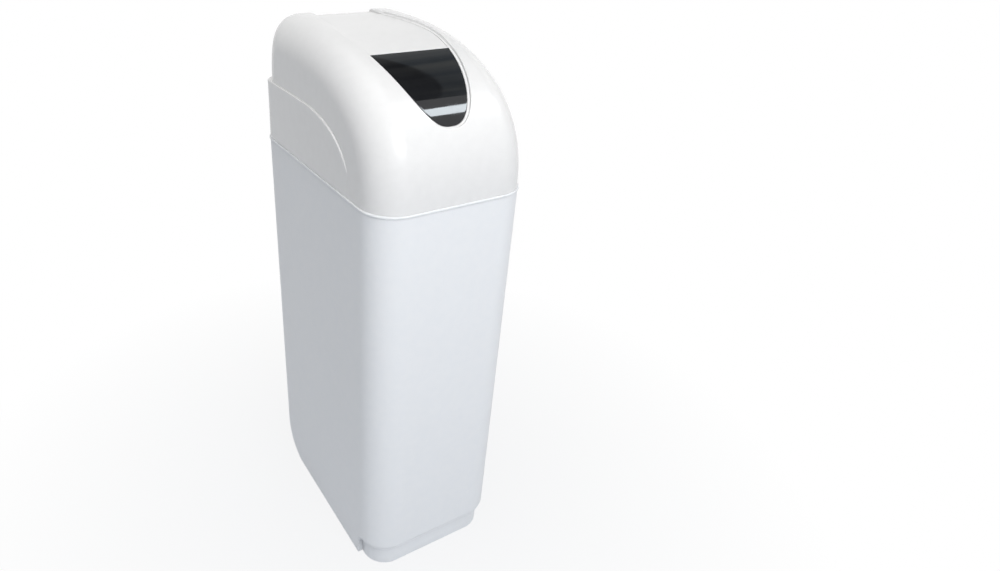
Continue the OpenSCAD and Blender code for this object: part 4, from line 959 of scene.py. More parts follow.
@dataclass
class Cabinet:
    """The salt cabinet: one closed skin over the foot, toe recess, wall, bead, rim and inside."""

    wardrobe: Wardrobe
    half_w: float = 0.160
    half_d: float = 0.2625
    height: float = 0.866
    wall: float = 0.004
    floor_t: float = 0.010
    foot_r: float = 0.0016
    toe_h: float = 0.049
    toe_d: float = 0.012
    toe_l: float = 0.072
    toe_r: float = 0.016
    skirt: float = 0.002
    skirt_r: float = 0.0015
    lower_r: float = 0.018
    groove: float = 0.004
    heel_h: float = 0.085
    heel_r: float = 0.156
    bead_h: float = 0.005
    bead_out: float = 0.002
    bead_power: float = 0.8
    nick: float = 0.0006
    corner_steps: int = 36
    side_steps: int = 34
    rear_steps: int = 14

    def build(self) -> None:
        """Makes the cabinet skin and hides the CAD cabinet."""
        self.wardrobe.finish(self.skin(), Slot.CABINET, Body.CABINET, "cabinet_body")

    def places(self) -> tuple[Array, Array]:
        """Places of the columns along the side, rear to front, and along the rear.

        Returns:
            Y along the side, and X from the middle outwards.
        """
        path = PlanPath(self.half_w, self.half_d)
        end, start = -self.half_d + self.toe_l, path.half_d - path.corner_r
        near = end - (end + start) * np.linspace(0.0, 1.0, 9)[:-1] ** 2
        side_y = np.concatenate([np.linspace(start, end, self.side_steps)[1:], near])
        return side_y, np.linspace(0.0, path.half_w - path.corner_r, self.rear_steps)[:-1]

    def plan_at(self, z: float) -> tuple[Array, Array]:
        """Plan at a height: the rear corners' radius grows to the floor by a quarter ellipse.

        Args:
            z: Height at the rear.

        Returns:
            Plan points and inward normals.
        """
        lean = min(max(1.0 - z / self.heel_h, 0.0), 1.0)
        corner = PlanPath.corner_r
        rear_r = corner + (self.heel_r - corner) * (1.0 - math.sqrt(1.0 - lean**2))
        side_y, rear_x = self.places()
        path = PlanPath(self.half_w, self.half_d, rear_r=rear_r)
        return path.whole(side_y, self.corner_steps, rear_x)

    def row(self, inset: Number, z: Number, shrink: float = 1.0) -> Array:
        """Section points of all columns.

        Args:
            inset: Distance inwards from the plan.
            z: Height, which at the first column is the rear's.
            shrink: Share that is left as the row is drawn in to the middle.

        Returns:
            (n, 3) points.
        """
        plan, inward = self.plan_at(float(np.ravel(z)[0]))
        inset = np.broadcast_to(inset, len(plan))[:, None]
        return lift((plan + inward * inset) * shrink, z)

    def lower_edge(self) -> Array:
        """Height of the wall's lower edge at each column.

        The edge is level under the skirts, rises straight at the recess's end and rounds over to
        the toe height.

        Returns:
            Heights.
        """
        side_y, rear_x = self.places()
        path = PlanPath(self.half_w, self.half_d)
        y = path.half(side_y, self.corner_steps, rear_x)[0][:, 1]
        past = np.clip(y + self.half_d - self.toe_l + self.toe_r, 0.0, self.toe_r)
        lower = self.toe_h - self.toe_r + np.sqrt(self.toe_r**2 - past**2)
        lower[: len(rear_x) + self.corner_steps + self.side_steps - 1] = self.skirt
        return np.concatenate([lower, lower[::-1]])

    def skin(self) -> Piece:
        """Closed skin: a section of inset and height carried round the plan to poles at both ends.

        Returns:
            The cabinet piece.
        """
        row, lower, nick = self.row, self.lower_edge(), self.nick
        toe, r = self.toe_d, self.foot_r
        rows = [row(toe + r, 0.0, share) for share in (0.001, 0.3, 0.6, 0.85, 1.0)]
        turn = np.linspace(0.3, QUARTER, 5)
        rows += [row(toe + r * (1 - math.sin(a)), r * (1 - math.cos(a))) for a in turn]
        lip = lower - np.minimum(self.groove, 0.6 * (lower - r))
        rows += [row(toe, r + w * (lip - r)) for w in (0.5, 1.0)]
        deep = toe + self.groove
        rows += [row(deep, lip + nick * (lower > self.skirt)), row(deep, lower)]
        rise = smooth_step(lower, self.skirt, self.toe_h)
        r = self.skirt_r + (self.lower_r - self.skirt_r) * rise
        turn = quarter_turn(9)
        rows += [row(r * (1 - math.sin(a)), lower + r * (1 - math.cos(a))) for a in turn]
        knee, heel = lower + r, self.heel_h
        lean = np.linspace(math.asin(1.0 - knee[0] / heel), 0.0, 13)[1:]
        share = (heel * (1.0 - np.sin(lean)) - knee[0]) / (heel - knee[0])
        rows += [row(0.0, knee + w * (heel - knee)) for w in share]
        bead = self.height - self.bead_h
        rows += [row(0.0, heel + w * (bead - nick - heel)) for w in np.linspace(0.0, 1.0, 14)[1:]]
        for a in np.linspace(-QUARTER, QUARTER, 13):
            out = self.bead_out * math.cos(a) ** self.bead_power
            rows.append(row(-out, bead + 0.5 * self.bead_h * (1 + math.sin(a))))
        rows += [row(self.wall - nick, self.height), row(self.wall, self.height - nick)]
        shelf, inner = self.toe_h + self.wall, toe + self.wall
        down = np.linspace(self.height - 0.01, heel, 8), np.linspace(heel, shelf, 4)[1:]
        rows += [row(self.wall, z) for z in np.concatenate(down)]
        rows += [row(inner, z) for z in (shelf, 0.5 * (shelf + self.floor_t), self.floor_t)]
        rows += [row(inner, self.floor_t, share) for share in (0.8, 0.5, 0.2, 0.001)]
        return add_grid("cabinet_skin", np.stack(rows), close_cols=True, flip=True, sharp_deg=55.0)


@dataclass
class Hood:
    """The lift-off hood: crown with a sunken lid recess, a wrap-round fender and a locating lip."""

    wardrobe: Wardrobe
    chart: LeafChart
    seat: float = 0.0098
    ledge_w: float = 0.010
    ledge_end: float = 0.0004
    bevel_w: float = 0.0005
    bevel_h: float = 0.0006
    fillet_r: float = 0.0008
    rim_soft: float = 0.004
    rim_r: float = 0.0042
    shoulder_w: float = 0.0034
    shoulder_low: float = 0.0055
    shoulder_high: float = 0.0040
    lip_r: float = 0.0017
    lip_step: float = 0.3
    channel_d: float = 0.0054
    channel_in: float = 0.002
    channel_side: float = 0.016
    channel_start: Pair = (-0.005, 0.001)
    channel_fall: Pair = (-0.1, -0.02)
    foot_across: float = 2.995
    tuck: float = 0.004
    fender_h: float = 0.121
    fender_run: float = 0.218
    fender_nose: float = 0.205
    fender_power: float = 2.4
    edge_r: float = 0.0022
    fade_from: float = 0.30
    fade_to: float = 0.62
    sunk: float = 0.0002
    corner_lean: float = 0.009
    deepest: float = 0.05
    overlap: float = 0.0012
    notch_half: float = 0.075
    notch_h: float = 0.112
    notch_r: float = 0.014
    locator_in: float = 0.0046
    locator_corner: float = 0.0594
    locator: tuple[Pair, ...] = (
        (0.0, 0.003), (0.0, -0.0108), (0.0008, -0.012), (0.0025, -0.012), (0.0025, 0.003),
    )
    around: int = 560
    skin_rings: int = 76
    skin_power: float = 1.15
    inner_rings: int = 25
    corner_steps: int = 26

    def build(self) -> None:
        """Makes the crown, fender and lip, and hides the CAD hood."""
        self.wardrobe.finish(self.crown(), Slot.HOOD, Body.HOOD, "hood")
        self.wardrobe.finish(self.fender(), Slot.HOOD, Body.HOOD)
        self.wardrobe.finish(self.lip(), Slot.HOOD, Body.HOOD)

    def box_reach(self, u: Array, across: Array) -> tuple[Array, Array]:
        """Carries rim points straight out from the leaf's middle to the crown's boundary.

        Args:
            u: Lengths along the middle line.
            across: Places across.

        Returns:
            Boundary u and across for each point.
        """
        chart = self.chart
        mid = 0.5 * float(chart.u_at(chart.tip_y) + chart.u_at(chart.end_y))
        behind = self.rear_u() - mid
        p = np.where(u < mid, (u - mid) / mid, (u - mid) / behind)
        q = across / self.foot_across
        grow = 1.0 / np.maximum(np.abs(p), np.abs(q))
        p, q = p * grow, q * grow
        return np.where(p < 0, mid + p * mid, mid + p * behind), q * self.foot_across

    def rear_u(self) -> float:
        """Length at which the rear skin dips behind the fender's ledge.

        Returns:
            Length along the middle line.
        """
        t, form = self.chart.table, self.chart.form
        rear = t["y"] > form.crest_y
        low = form.seam_z + self.fender_h - self.tuck
        return float(np.interp(-low, -t["z"][rear], t["u"][rear]))

    def channel(self, points: Array) -> Array:
        """Depth of the channel behind the lid: full between the cheeks, running out down the back.

        Args:
            points: Places on the crown's skin.

        Returns:
            How far each is pressed in.
        """
        chart, form = self.chart, self.chart.form
        x, y, z = np.abs(points[..., 0]), points[..., 1], points[..., 2]
        edge = float(chart.half_at(chart.end_y)) - self.channel_in
        across = 1.0 - smooth_step(x, edge, edge + self.channel_side)
        along = smooth_step(y, *(chart.end_y + d for d in self.channel_start))
        fall = smooth_step(z, *(form.seam_z + form.height + d for d in self.channel_fall))
        return self.channel_d * across * along * fall

    def pressed(self, points: Array, depth: Number) -> Array:
        """Depth of a ring, where what is above the seat is pressed down by the channel."""
        low = self.channel(points)
        return np.where(depth < self.seat, low + depth * (1.0 - low / self.seat), depth)

    def shoulder(self) -> Array:
        """Section of the recess's shoulder: a slope up from the lid, a step and a rounded lip.

        Returns:
            (9, 2) offsets and depths.
        """
        slope, turn = np.linspace(0.0, 1.0, 4), quarter_turn(5)
        rise = self.shoulder_high - self.shoulder_low
        low = stack(slope * self.shoulder_w, self.shoulder_low + slope * rise)
        edge = self.shoulder_w + self.lip_step * self.lip_r
        high = stack(edge + self.lip_r * (1 - np.cos(turn)), self.lip_r * (1 - np.sin(turn)))
        return np.concatenate([low, high])

    def crown(self) -> Piece:
        """Crown as rings round the lid recess: seat, wall, shoulder, outer skin and inner skin.

        Rings near the rim are the leaf's outline set off along its normals at set depths. Beyond
        them the unrolled point moves straight out to the crown's boundary and is laid on the
        closed form.

        Returns:
            The crown piece.
        """
        chart, form, seat = self.chart, self.chart.form, self.seat
        dense = chart.rim(self.rim_soft)
        ends = self.box_reach(dense[:, 0], dense[:, 1] / chart.flat_at(dense[:, 0]))
        by_rim = run_length(dense)
        by_foot = run_length(form.skin(chart.theta_at(ends[0]), ends[1], 0.0))
        line = resample(dense, by_rim / by_rim[-1] + by_foot / by_foot[-1], self.around)
        normal, y = outline_normals(line), chart.y_at(line[:, 0])
        shut = smooth_step(y, chart.straight_y - 0.004, chart.straight_y + 0.001)
        ledge = self.ledge_w - (self.ledge_w - self.ledge_end) * shut
        ahead = 1.0 - smooth_step(y, chart.straight_y - 0.03, chart.straight_y)
        lip = (1.0 + self.lip_step) * self.lip_r
        rim = self.rim_r + ahead * (self.shoulder_w + lip - self.rim_r)
        start = line + normal * rim[:, None]
        u0, q0 = start[:, 0], start[:, 1] / chart.flat_at(start[:, 0])
        u1, q1 = self.box_reach(u0, q0)

        def ring(offset: Number, depth: Number) -> Array:
            """Outline set off by a distance and laid at a depth, pressed into the channel."""
            at = (line + normal * np.broadcast_to(offset, len(line))[:, None]).T
            return chart.lay(*at, self.pressed(chart.lay(*at, 0.0), depth))

        def skin(share: float, inset: float) -> Array:
            """Ring a share of the way from the rim to the boundary, pressed into the channel."""
            at = chart.theta_at(u0 + share * (u1 - u0)), q0 + share * (q1 - q0)
            return form.skin(*at, inset + self.channel(form.skin(*at, 0.0)))

        under, fillet = seat + form.wall, self.fillet_r
        rings = [ring(-ledge, under), ring(-ledge, seat + self.bevel_h)]
        rings += [ring(-ledge + self.bevel_w, seat), ring(-fillet, seat)]
        rings += [ring(0.0, seat - fillet), ring(0.0, 0.6 * seat)]
        turn = quarter_turn(9)
        plain = stack(self.rim_r * (1 - np.cos(turn)), self.rim_r * (1 - np.sin(turn)))
        for (offset, depth), (out, sink) in zip(plain, self.shoulder()):
            rings.append(ring(offset + ahead * (out - offset), depth + ahead * (sink - depth)))
        shares = np.linspace(0.0, 1.0, self.skin_rings + 1)[1:] ** self.skin_power
        rings += [skin(share, 0.0) for share in shares]
        rings += [skin(share, form.wall) for share in np.linspace(1.0, 0.0, self.inner_rings)]
        rings += [ring(rim + self.bevel_w, depth) for depth in (seat, under)]
        return add_grid("hood_crown", np.stack(rings), True, True, flip=True, sharp_deg=50.0)

    def fender_columns(self) -> tuple[Array, ...]:
        """Columns of the fender, from the +X nose round the rear to the -X nose.

        Returns:
            Plan points, inward normals, top heights and bottom heights above the seam.
        """
        form, power, r = self.chart.form, self.fender_power, self.notch_r
        path = PlanPath(form.half_w, form.half_d)
        c, s = np.cos(quarter_turn(60)), np.sin(quarter_turn(60))
        norm = (c**power + s**power) ** (1 / power)
        level_y = form.half_d - self.fender_run
        nose_y = level_y - self.fender_nose * c / norm
        level = np.linspace(form.half_d - path.corner_r, level_y, 24)[1:-1]
        side_y = np.concatenate([level, nose_y[::-1]])
        flat = self.notch_half - r
        mouth = np.concatenate(
            [np.linspace(0.0, flat, 12)[:-1], flat + r * np.sin(quarter_turn(10))]
        )
        beside = np.linspace(self.notch_half, path.half_w - path.corner_r, 6)[:-1]
        rear_x = np.concatenate([mouth, beside])
        count = len(rear_x) + self.corner_steps + len(side_y)
        top, bottom = np.full(count, self.fender_h), np.zeros(count)
        top[-len(nose_y) :] = (self.fender_h * s / norm)[::-1]
        over = np.clip(mouth - flat, 0.0, None)
        arch = np.sqrt(np.clip(r**2 - over**2, 0.0, None))
        bottom[: len(mouth)] = self.notch_h - r + arch
        points, inward = path.half(side_y, self.corner_steps, rear_x)
        flip = np.array([-1.0, 1.0])
        halves = (points, flip), (inward, flip), (top, 1.0), (bottom, 1.0)
        return tuple(
            np.concatenate([half[:count][::-1], half[1:count] * other]) for half, other in halves
        )

    def fender(self) -> Piece:
        """Fender: a closed section of foot, wall, rounded edge and ledge carried along the plan.

        The ledge's reach at each column is found by halving the way in until it meets the crown.
        Towards the nose the wall sinks into the crown, so that the ledge runs out.

        Returns:
            The fender piece.
        """
        form = self.chart.form
        seam, wall = form.seam_z, form.wall
        plan, inward, top, bottom = self.fender_columns()
        proud = form.side_in + form.draft * top + self.sunk
        fade = smooth_step(top, self.fade_from * self.fender_h, self.fade_to * self.fender_h)
        plan = plan + inward * ((1.0 - fade) * proud)[:, None]
        low, high = np.zeros(len(plan)), np.full(len(plan), self.deepest)
        for _ in range(40):
            trial = 0.5 * (low + high)
            hit = form.inside(lift(plan + inward * trial[:, None], seam + top))
            low, high = np.where(hit, low, trial), np.where(hit, trial, high)
        reach = np.maximum(high, self.edge_r) + self.overlap
        span = np.clip(top - bottom, 0.0, None)
        fillet = np.minimum(self.edge_r, 0.5 * span)
        heel = np.minimum(self.bevel_h, 0.2 * span)
        lean = self.corner_lean / self.fender_h * 4.0 * (inward[:, 0] * inward[:, 1]) ** 2

        def row(inset: Number, z: Array) -> Array:
            """Section points at an inset and a height; the corners lean in with height."""
            return lift(plan + inward * (inset + lean * z)[:, None], seam + z)

        rows = [row(wall, bottom), row(heel, bottom), row(0.3 * heel, bottom + 0.3 * heel)]
        tall = span - fillet - heel
        rows += [row(0.0, bottom + heel + w * tall) for w in np.linspace(0.0, 1.0, 14)]
        for a in quarter_turn(8)[1:]:
            rows.append(row(fillet * (1 - math.cos(a)), top - fillet + fillet * math.sin(a)))
        rows += [row(fillet + w * (reach - fillet), top) for w in np.linspace(0.0, 1.0, 7)[1:]]
        sole = np.maximum(top - wall, bottom)
        rows += [row(reach, sole), row(np.minimum(wall, reach), sole)]
        return add_grid("hood_fender", np.stack(rows), close_rows=True, sharp_deg=50.0)

    def lip(self) -> Piece:
        """Locating lip: a closed strip section carried along the set-in plan, open at the notch.

        Returns:
            The lip piece.
        """
        form, d = self.chart.form, self.locator_in
        path = PlanPath(form.half_w - d, form.half_d - d, self.locator_corner)
        flat_x, flat_y = path.half_w - path.corner_r, path.half_d - path.corner_r
        side_y = np.linspace(flat_y, -flat_y, 24)[1:-1]
        rear_x = np.linspace(self.notch_half, flat_x, 5)[:-1]
        front_x = np.linspace(0.0, flat_x, 10)[:-1]
        points, inward = path.whole(side_y, 20, rear_x, front_x)
        rows = [lift(points + inward * inset, form.seam_z + z) for inset, z in self.locator]
        strip = np.stack(rows)
        ends = np.broadcast_to(strip.mean(axis=0), strip.shape)
        strip = np.concatenate([ends[:, :1], strip, ends[:, -1:]], axis=1)
        return add_grid("hood_lip", strip, close_rows=True, flip=True)


@dataclass
class Lid:
    """The hinged salt lid with its smoked window."""

    wardrobe: Wardrobe
    chart: LeafChart
    drop: float = 0.0054
    thick: float = 0.004
    gap: float = 0.001
    end_y: float = 0.1965
    window_y: float = -0.0845
    window_t: float = 0.0022
    frame_w: float = 0.009
    rim_soft: float = 0.003
    panel_soft: float = 0.0022
    sheet_soft: float = 0.0012
    panel_bevel: float = 0.0009
    sheet_bevel: float = 0.0004
    panel_gap: float = 0.0001
    sheet_gap: float = 0.0002
    pole: float = 0.0005
    around: int = 420

    def build(self) -> None:
        """Makes the white lid, the window and its frame, and hides their CAD nodes."""
        rim = self.chart.rim(self.rim_soft)
        normal = outline_normals(rim[:-1])
        inner = rim - self.gap * np.concatenate([normal, normal[:1]])
        cut, end = (float(self.chart.u_at(y)) for y in (self.window_y, self.end_y))
        panel = clip_outline(inner, cut + self.panel_gap, end, self.panel_soft)
        sheet = clip_outline(inner, 0.0, cut - self.sheet_gap, self.sheet_soft)
        lid = self.plate("lid_panel", panel, self.thick, self.panel_bevel, 44)
        self.wardrobe.finish(lid, Slot.HOOD, Body.LID, "salt_lid")
        window = self.plate("window_sheet", sheet, self.window_t, self.sheet_bevel, 36)
        self.wardrobe.finish(window, Slot.WINDOW, Body.LID, "lid_window")
        self.wardrobe.finish(self.frame_strip(sheet), Slot.HOOD, Body.LID)

    def plate(self, name: str, outline: Array, thick: float, bevel: float, rings: int) -> Piece:
        """Curved plate: rings shrink to its middle above and below, with a rolled edge.

        Args:
            name: Name of the piece.
            outline: Closed outline in u and v.
            thick: Thickness.
            bevel: Radius of the edge.
            rings: Rings from the middle to the edge.

        Returns:
            The plate.
        """
        line = resample(outline, run_length(outline), self.around)
        normal = outline_normals(line)
        centre = 0.5 * (line.min(axis=0) + line.max(axis=0))
        flat = line - normal * bevel
        depth, under, gap = self.drop, self.drop + thick, self.sheet_gap

        def ring(scale: float, offset: float, at: float) -> Array:
            """Outline shrunk to the middle, or set off near the edge, at a depth."""
            put = centre + scale * (flat - centre) + normal * offset
            return self.chart.lay(*put.T, at)

        rows = [ring(w, 0.0, depth) for w in np.linspace(self.pole, 1.0, rings)]
        for a in quarter_turn(6)[1:]:
            rows.append(ring(1.0, bevel * math.sin(a), depth + bevel * (1 - math.cos(a))))
        rows += [ring(1.0, bevel, under - gap), ring(1.0, bevel - gap, under)]
        rows += [ring(w, 0.0, under) for w in np.linspace(1.0, self.pole, rings // 2)]
        return add_grid(name, np.stack(rows), close_cols=True, flip=True, sharp_deg=60.0)

    def frame_strip(self, outline: Array) -> Piece:
        """Frame under the window: a flat strip section carried round the window's outline.

        Args:
            outline: Closed outline of the window in u and v.

        Returns:
            The frame strip.
        """
        line = resample(outline, run_length(outline), self.around)
        normal, w = outline_normals(line), self.frame_w
        top, low = self.drop + self.window_t + self.sheet_gap, self.drop + self.thick
        section = (0.0, top), (-w, top), (-w, low), (0.0, low)
        rows = [self.chart.lay(*(line + normal * offset).T, depth) for offset, depth in section]
        return add_grid("window_frame", np.stack(rows), close_rows=True, close_cols=True)


def disc(x: float, z: float, r: float, points: int = 48) -> Array:
    """Circle in the face's X and Z."""
    t = np.linspace(0.0, TURN, points, endpoint=False)
    return stack(x + r * np.cos(t), z + r * np.sin(t))


def drop(x: float, z: float, r: float, run: float, tip_r: float, points: int = 48) -> Array:
    """Teardrop: a large circle and a small one to its right, joined by their common tangents.

    Args:
        x: Middle of the large circle.
        z: Height of both middles.
        r: Large radius.
        run: Distance to the small circle's middle.
        tip_r: Small radius.
        points: Points round the large circle, and twice those round the small one.

    Returns:
        (n, 2) points.
    """
    lean = math.acos((r - tip_r) / run)
    big = np.linspace(lean, TURN - lean, points)
    small = np.linspace(-lean, lean, points // 2)
    large = stack(x + r * np.cos(big), z + r * np.sin(big))
    tip = stack(x + run + tip_r * np.cos(small), z + tip_r * np.sin(small))
    return np.concatenate([large, tip])


def polygon(x: float, z: float, r: float, sides: int, first_deg: float, per: int = 8) -> Array:
    """Regular polygon, walked by interpolating between its corners.

    Args:
        x: Middle.
        z: Middle height.
        r: Corner radius.
        sides: Number of sides.
        first_deg: Angle of its first corner.
        per: Points to a side.

    Returns:
        (n, 2) points.
    """
    k = np.arange(sides + 1)
    a = math.radians(first_deg) + k * 2.0 * math.pi / sides
    at = np.linspace(0.0, sides, sides * per, endpoint=False)
    return stack(x + r * np.interp(at, k, np.cos(a)), z + r * np.interp(at, k, np.sin(a)))


@dataclass
class TimerFace:
    """Prints on the timer head. Heights are from the middle of the head, knob, dial or tab."""

    wardrobe: Wardrobe
    thick: float = 0.00012
    head_z: float = 1.0084
    plate_y: float = 0.070
    drops: tuple[Pair, ...] = ((-0.0735, 0.020), (-0.0725, -0.014))
    drop_form: Triple = (0.0085, 0.016, 0.0048)
    drop_disc_r: float = 0.0066
    white_discs: tuple[Triple, ...] = ((-0.053, -0.031, 0.0056), (-0.036, -0.034, 0.0050))
    black_dots: tuple[Triple, ...] = (
        (-0.0575, 0.020, 0.0022), (-0.0548, -0.0295, 0.0012), (-0.0512, -0.0325, 0.0012),
        (-0.0378, -0.0325, 0.0011), (-0.0342, -0.0355, 0.0011),
    )
    red_ring: Pair = (-0.0565, -0.014)
    red_ring_r: Pair = (0.0019, 0.0025)
    tab_y: float = 0.055
    tab_drop: float = 0.0495
    clock_r: Pair = (0.0030, 0.0037)
    hands_l: Pair = (0.0026, 0.0020)
    hands_deg: Pair = (52.0, 128.0)
    hand_w: float = 0.0006
    knob_z: float = 1.0074
    label_y: float = 0.0482
    arrow_z: float = 0.0195
    arrow_r: float = 0.0042
    disc_y: float = 0.056
    square: Pair = (-0.0285, 0.0036)
    dot: Pair = (-0.0222, 0.0017)
    knob_ring_x: float = -0.0188
    knob_ring_r: Pair = (0.0014, 0.0021)
    dial_x: float = 0.056
    dial_z: float = 1.0054
    dial_y: float = 0.0664
    band_y: float = 0.0654
    dial_ring_r: Pair = (0.0222, 0.0226)
    band_ring_r: Pair = (0.0190, 0.0195)
    hub_rims: tuple[Triple, ...] = (
        (0.0166, 0.0176, 0.0629), (0.0111, 0.0120, 0.0614), (0.0072, 0.0080, 0.0584),
    )
    hours: int = 24
    long_every: int = 3
    long_tick: Triple = (0.0228, 0.0262, 0.0008)
    short_tick: Triple = (0.0236, 0.0256, 0.0004)
    pointer_at: float = 0.0247
    pointer_turn: float = 0.78
    pointer_r: float = 0.0017
    pointer_deg: float = 224.7

    def build(self) -> None:
        """Makes each ink's pieces on the face, the knob and the dial."""
        self.face_prints()
        self.knob_prints()
        self.dial_prints()

    def slab(self, outline: Array, front_y: float) -> Array:
        """Thin slab: rings from its middle out over its front edge and back behind it.

        Args:
            outline: (n, 2) X and Z, anticlockwise as seen from the front.
            front_y: Y of its front.

        Returns:
            (rows, n, 3) grid, closed along its columns.
        """
        centre, edge = outline.mean(axis=0), 0.3 * self.thick
        rim = 1.0 - edge / np.linalg.norm(outline - centre, axis=1).max()
        out = np.array([0.001, 0.6, rim, 1.0, 1.0, 0.001])
        y = front_y + np.array([0.0, 0.0, 0.0, edge, self.thick, self.thick])
        flat = centre + out[:, None, None] * (outline - centre)
        return stack(flat[..., 0], y[:, None], flat[..., 1])

    def ring(self, x: float, z: float, radii: Pair, front_y: float, points: int = 96) -> Array:
        """Thin ring: a rectangular section carried round a circle.

        Args:
            x: Middle.
            z: Middle height.
            radii: Inner and outer radius.
            front_y: Y of its front.
            points: Points round it.

        Returns:
            (5, n, 3) grid, closed along its columns, its last row repeating the first.
        """
        t = np.linspace(0.0, TURN, points, endpoint=False)
        r = np.array(radii)[[0, 1, 1, 0, 0], None]
        y = front_y + self.thick * np.array([0.0, 0.0, 1.0, 1.0, 0.0])
        return stack(x + r * np.cos(t), y[:, None], z + r * np.sin(t))

    def ticks(self, x: float, z: float, ticks: Array, angle: Array, front_y: float) -> list[Array]:
        """Radial ticks: one small box each, spun about a middle by its own angle.

        Args:
            x: Middle.
            z: Middle height.
            ticks: (n, 3) inner ends, outer ends and widths.
            angle: Angle of each tick.
            front_y: Y of their fronts.

        Returns:
            (2, 4, 3) grids of box corners, front and back.
        """
        inner, outer, width = ticks.T[..., None]
        along = inner + np.array([0.0, 0.0, 1.0, 1.0]) * (outer - inner)
        across = 0.5 * width * np.array([-1.0, 1.0, 1.0, -1.0])
        c, s = np.cos(angle)[:, None], np.sin(angle)[:, None]
        flat = x + along * c - across * s, z + along * s + across * c
        sheets = [stack(flat[0], front_y + self.thick * k, flat[1]) for k in range(2)]
        return list(np.stack(sheets, axis=1))

    def put(self, name: str, look: Ink, body: Body, grids: list[Array], ends: bool = False) -> None:
        """Joins grids of one ink into a piece on a body.

        Args:
            name: Name of the piece.
            look: Its ink.
            body: The body that it rides on.
            grids: Grids closed along their columns.
            ends: Whether four-sided grids are closed by a face at each end.
        """
        faces, count = [], 0
        for grid in grids:
            rows, cols = grid.shape[:2]
            faces.append(grid_faces(rows, cols, close_cols=True) + count)
            if ends:
                faces.append(np.array([[3, 2, 1, 0], [4, 5, 6, 7]]) + count)
            count += rows * cols
        points = np.concatenate([grid.reshape(-1, 3) for grid in grids])
        self.wardrobe.finish(add_mesh(name, points, np.concatenate(faces)), look, body)

    def face_prints(self) -> None:
        """White drops with a green and a red disc, small plain marks, and a clock on the tab."""
        z, low, high = self.head_z, self.plate_y - self.thick, self.plate_y - 2 * self.thick
        white = [drop(x, z + dz, *self.drop_form) for x, dz in self.drops]
        white += [disc(x, z + dz, r) for x, dz, r in self.white_discs]
        green, red = ([disc(x, z + dz, self.drop_disc_r)] for x, dz in self.drops)
        black = [disc(x, z + dz, r) for x, dz, r in self.black_dots]
        for name, look, outlines, y in (
            ("face_white_marks", Ink.WHITE, white, low),
            ("face_green_disc", Ink.GREEN, green, high),
            ("face_red_disc", Ink.RED, red, high),
            ("face_black_dots", Ink.BLACK, black, high),
        ):
            self.put(name, look, Body.CABINET, [self.slab(outline, y) for outline in outlines])
        ring = self.ring(self.red_ring[0], z + self.red_ring[1], self.red_ring_r, high, 40)
        self.put("face_red_ring", Ink.RED, Body.CABINET, [ring])
        tab_z, tab_y = self.head_z - self.tab_drop, self.tab_y - self.thick
        clock = self.ring(0.0, tab_z, self.clock_r, tab_y, 56)
        self.put("tab_clock_ring", Ink.WHITE, Body.CABINET, [clock])
        hands = stack(0.0, np.array(self.hands_l), self.hand_w)
        boxes = self.ticks(0.0, tab_z, hands, np.radians(self.hands_deg), tab_y)
        self.put("tab_clock_hands", Ink.WHITE, Body.CABINET, boxes, ends=True)

    def knob_prints(self) -> None:
        """Two arrows on the knob's white strip, and a square, a dot and a ring on its disc."""
        z, y = self.knob_z, self.disc_y - self.thick
        ways = (self.arrow_z, 0.0), (-self.arrow_z, 180.0)
        arrows = [polygon(0.0, z + dz, self.arrow_r, 3, deg) for dz, deg in ways]
        slabs = [self.slab(arrow, self.label_y - self.thick) for arrow in arrows]
        self.put("label_arrows", Ink.BLACK, Body.KNOB, slabs)
        square = polygon(self.square[0], z, self.square[1], 4, 45.0)
        self.put("knob_blue_square", Ink.BLUE, Body.KNOB, [self.slab(square, y)])
        dot = disc(self.dot[0], z, self.dot[1])
        self.put("knob_green_dot", Ink.GREEN, Body.KNOB, [self.slab(dot, y)])
        ring = self.ring(self.knob_ring_x, z, self.knob_ring_r, y, 40)
        self.put("knob_white_ring", Ink.WHITE, Body.KNOB, [ring])

    def dial_prints(self) -> None:
        """Scale rings, hour ticks and a pointer on the program dial."""
        x, z, low = self.dial_x, self.dial_z, self.dial_y - self.thick
        band = self.ring(x, z, self.band_ring_r, self.band_y - self.thick)
        rings = [self.ring(x, z, self.dial_ring_r, low), band]
        self.put("dial_silver_rings", Ink.SILVER, Body.PROGRAM, rings)
        rims = [self.ring(x, z, (a, b), y - self.thick) for a, b, y in self.hub_rims]
        self.put("hub_silver_rims", Ink.SILVER, Body.PROGRAM, rims)
        hour = np.arange(self.hours)
        long = (hour % self.long_every == 0)[:, None]
        ticks = np.where(long, self.long_tick, self.short_tick)
        boxes = self.ticks(x, z, ticks, hour * 2.0 * math.pi / self.hours, low)
        self.put("dial_hour_ticks", Ink.WHITE, Body.PROGRAM, boxes, ends=True)
        c, s = math.cos(self.pointer_turn), math.sin(self.pointer_turn)
        at = x + self.pointer_at * c, z + self.pointer_at * s
        pointer = polygon(*at, self.pointer_r, 3, self.pointer_deg)
        slab = self.slab(pointer, low - self.thick)
        self.put("dial_pointer", Ink.WHITE, Body.PROGRAM, [slab])


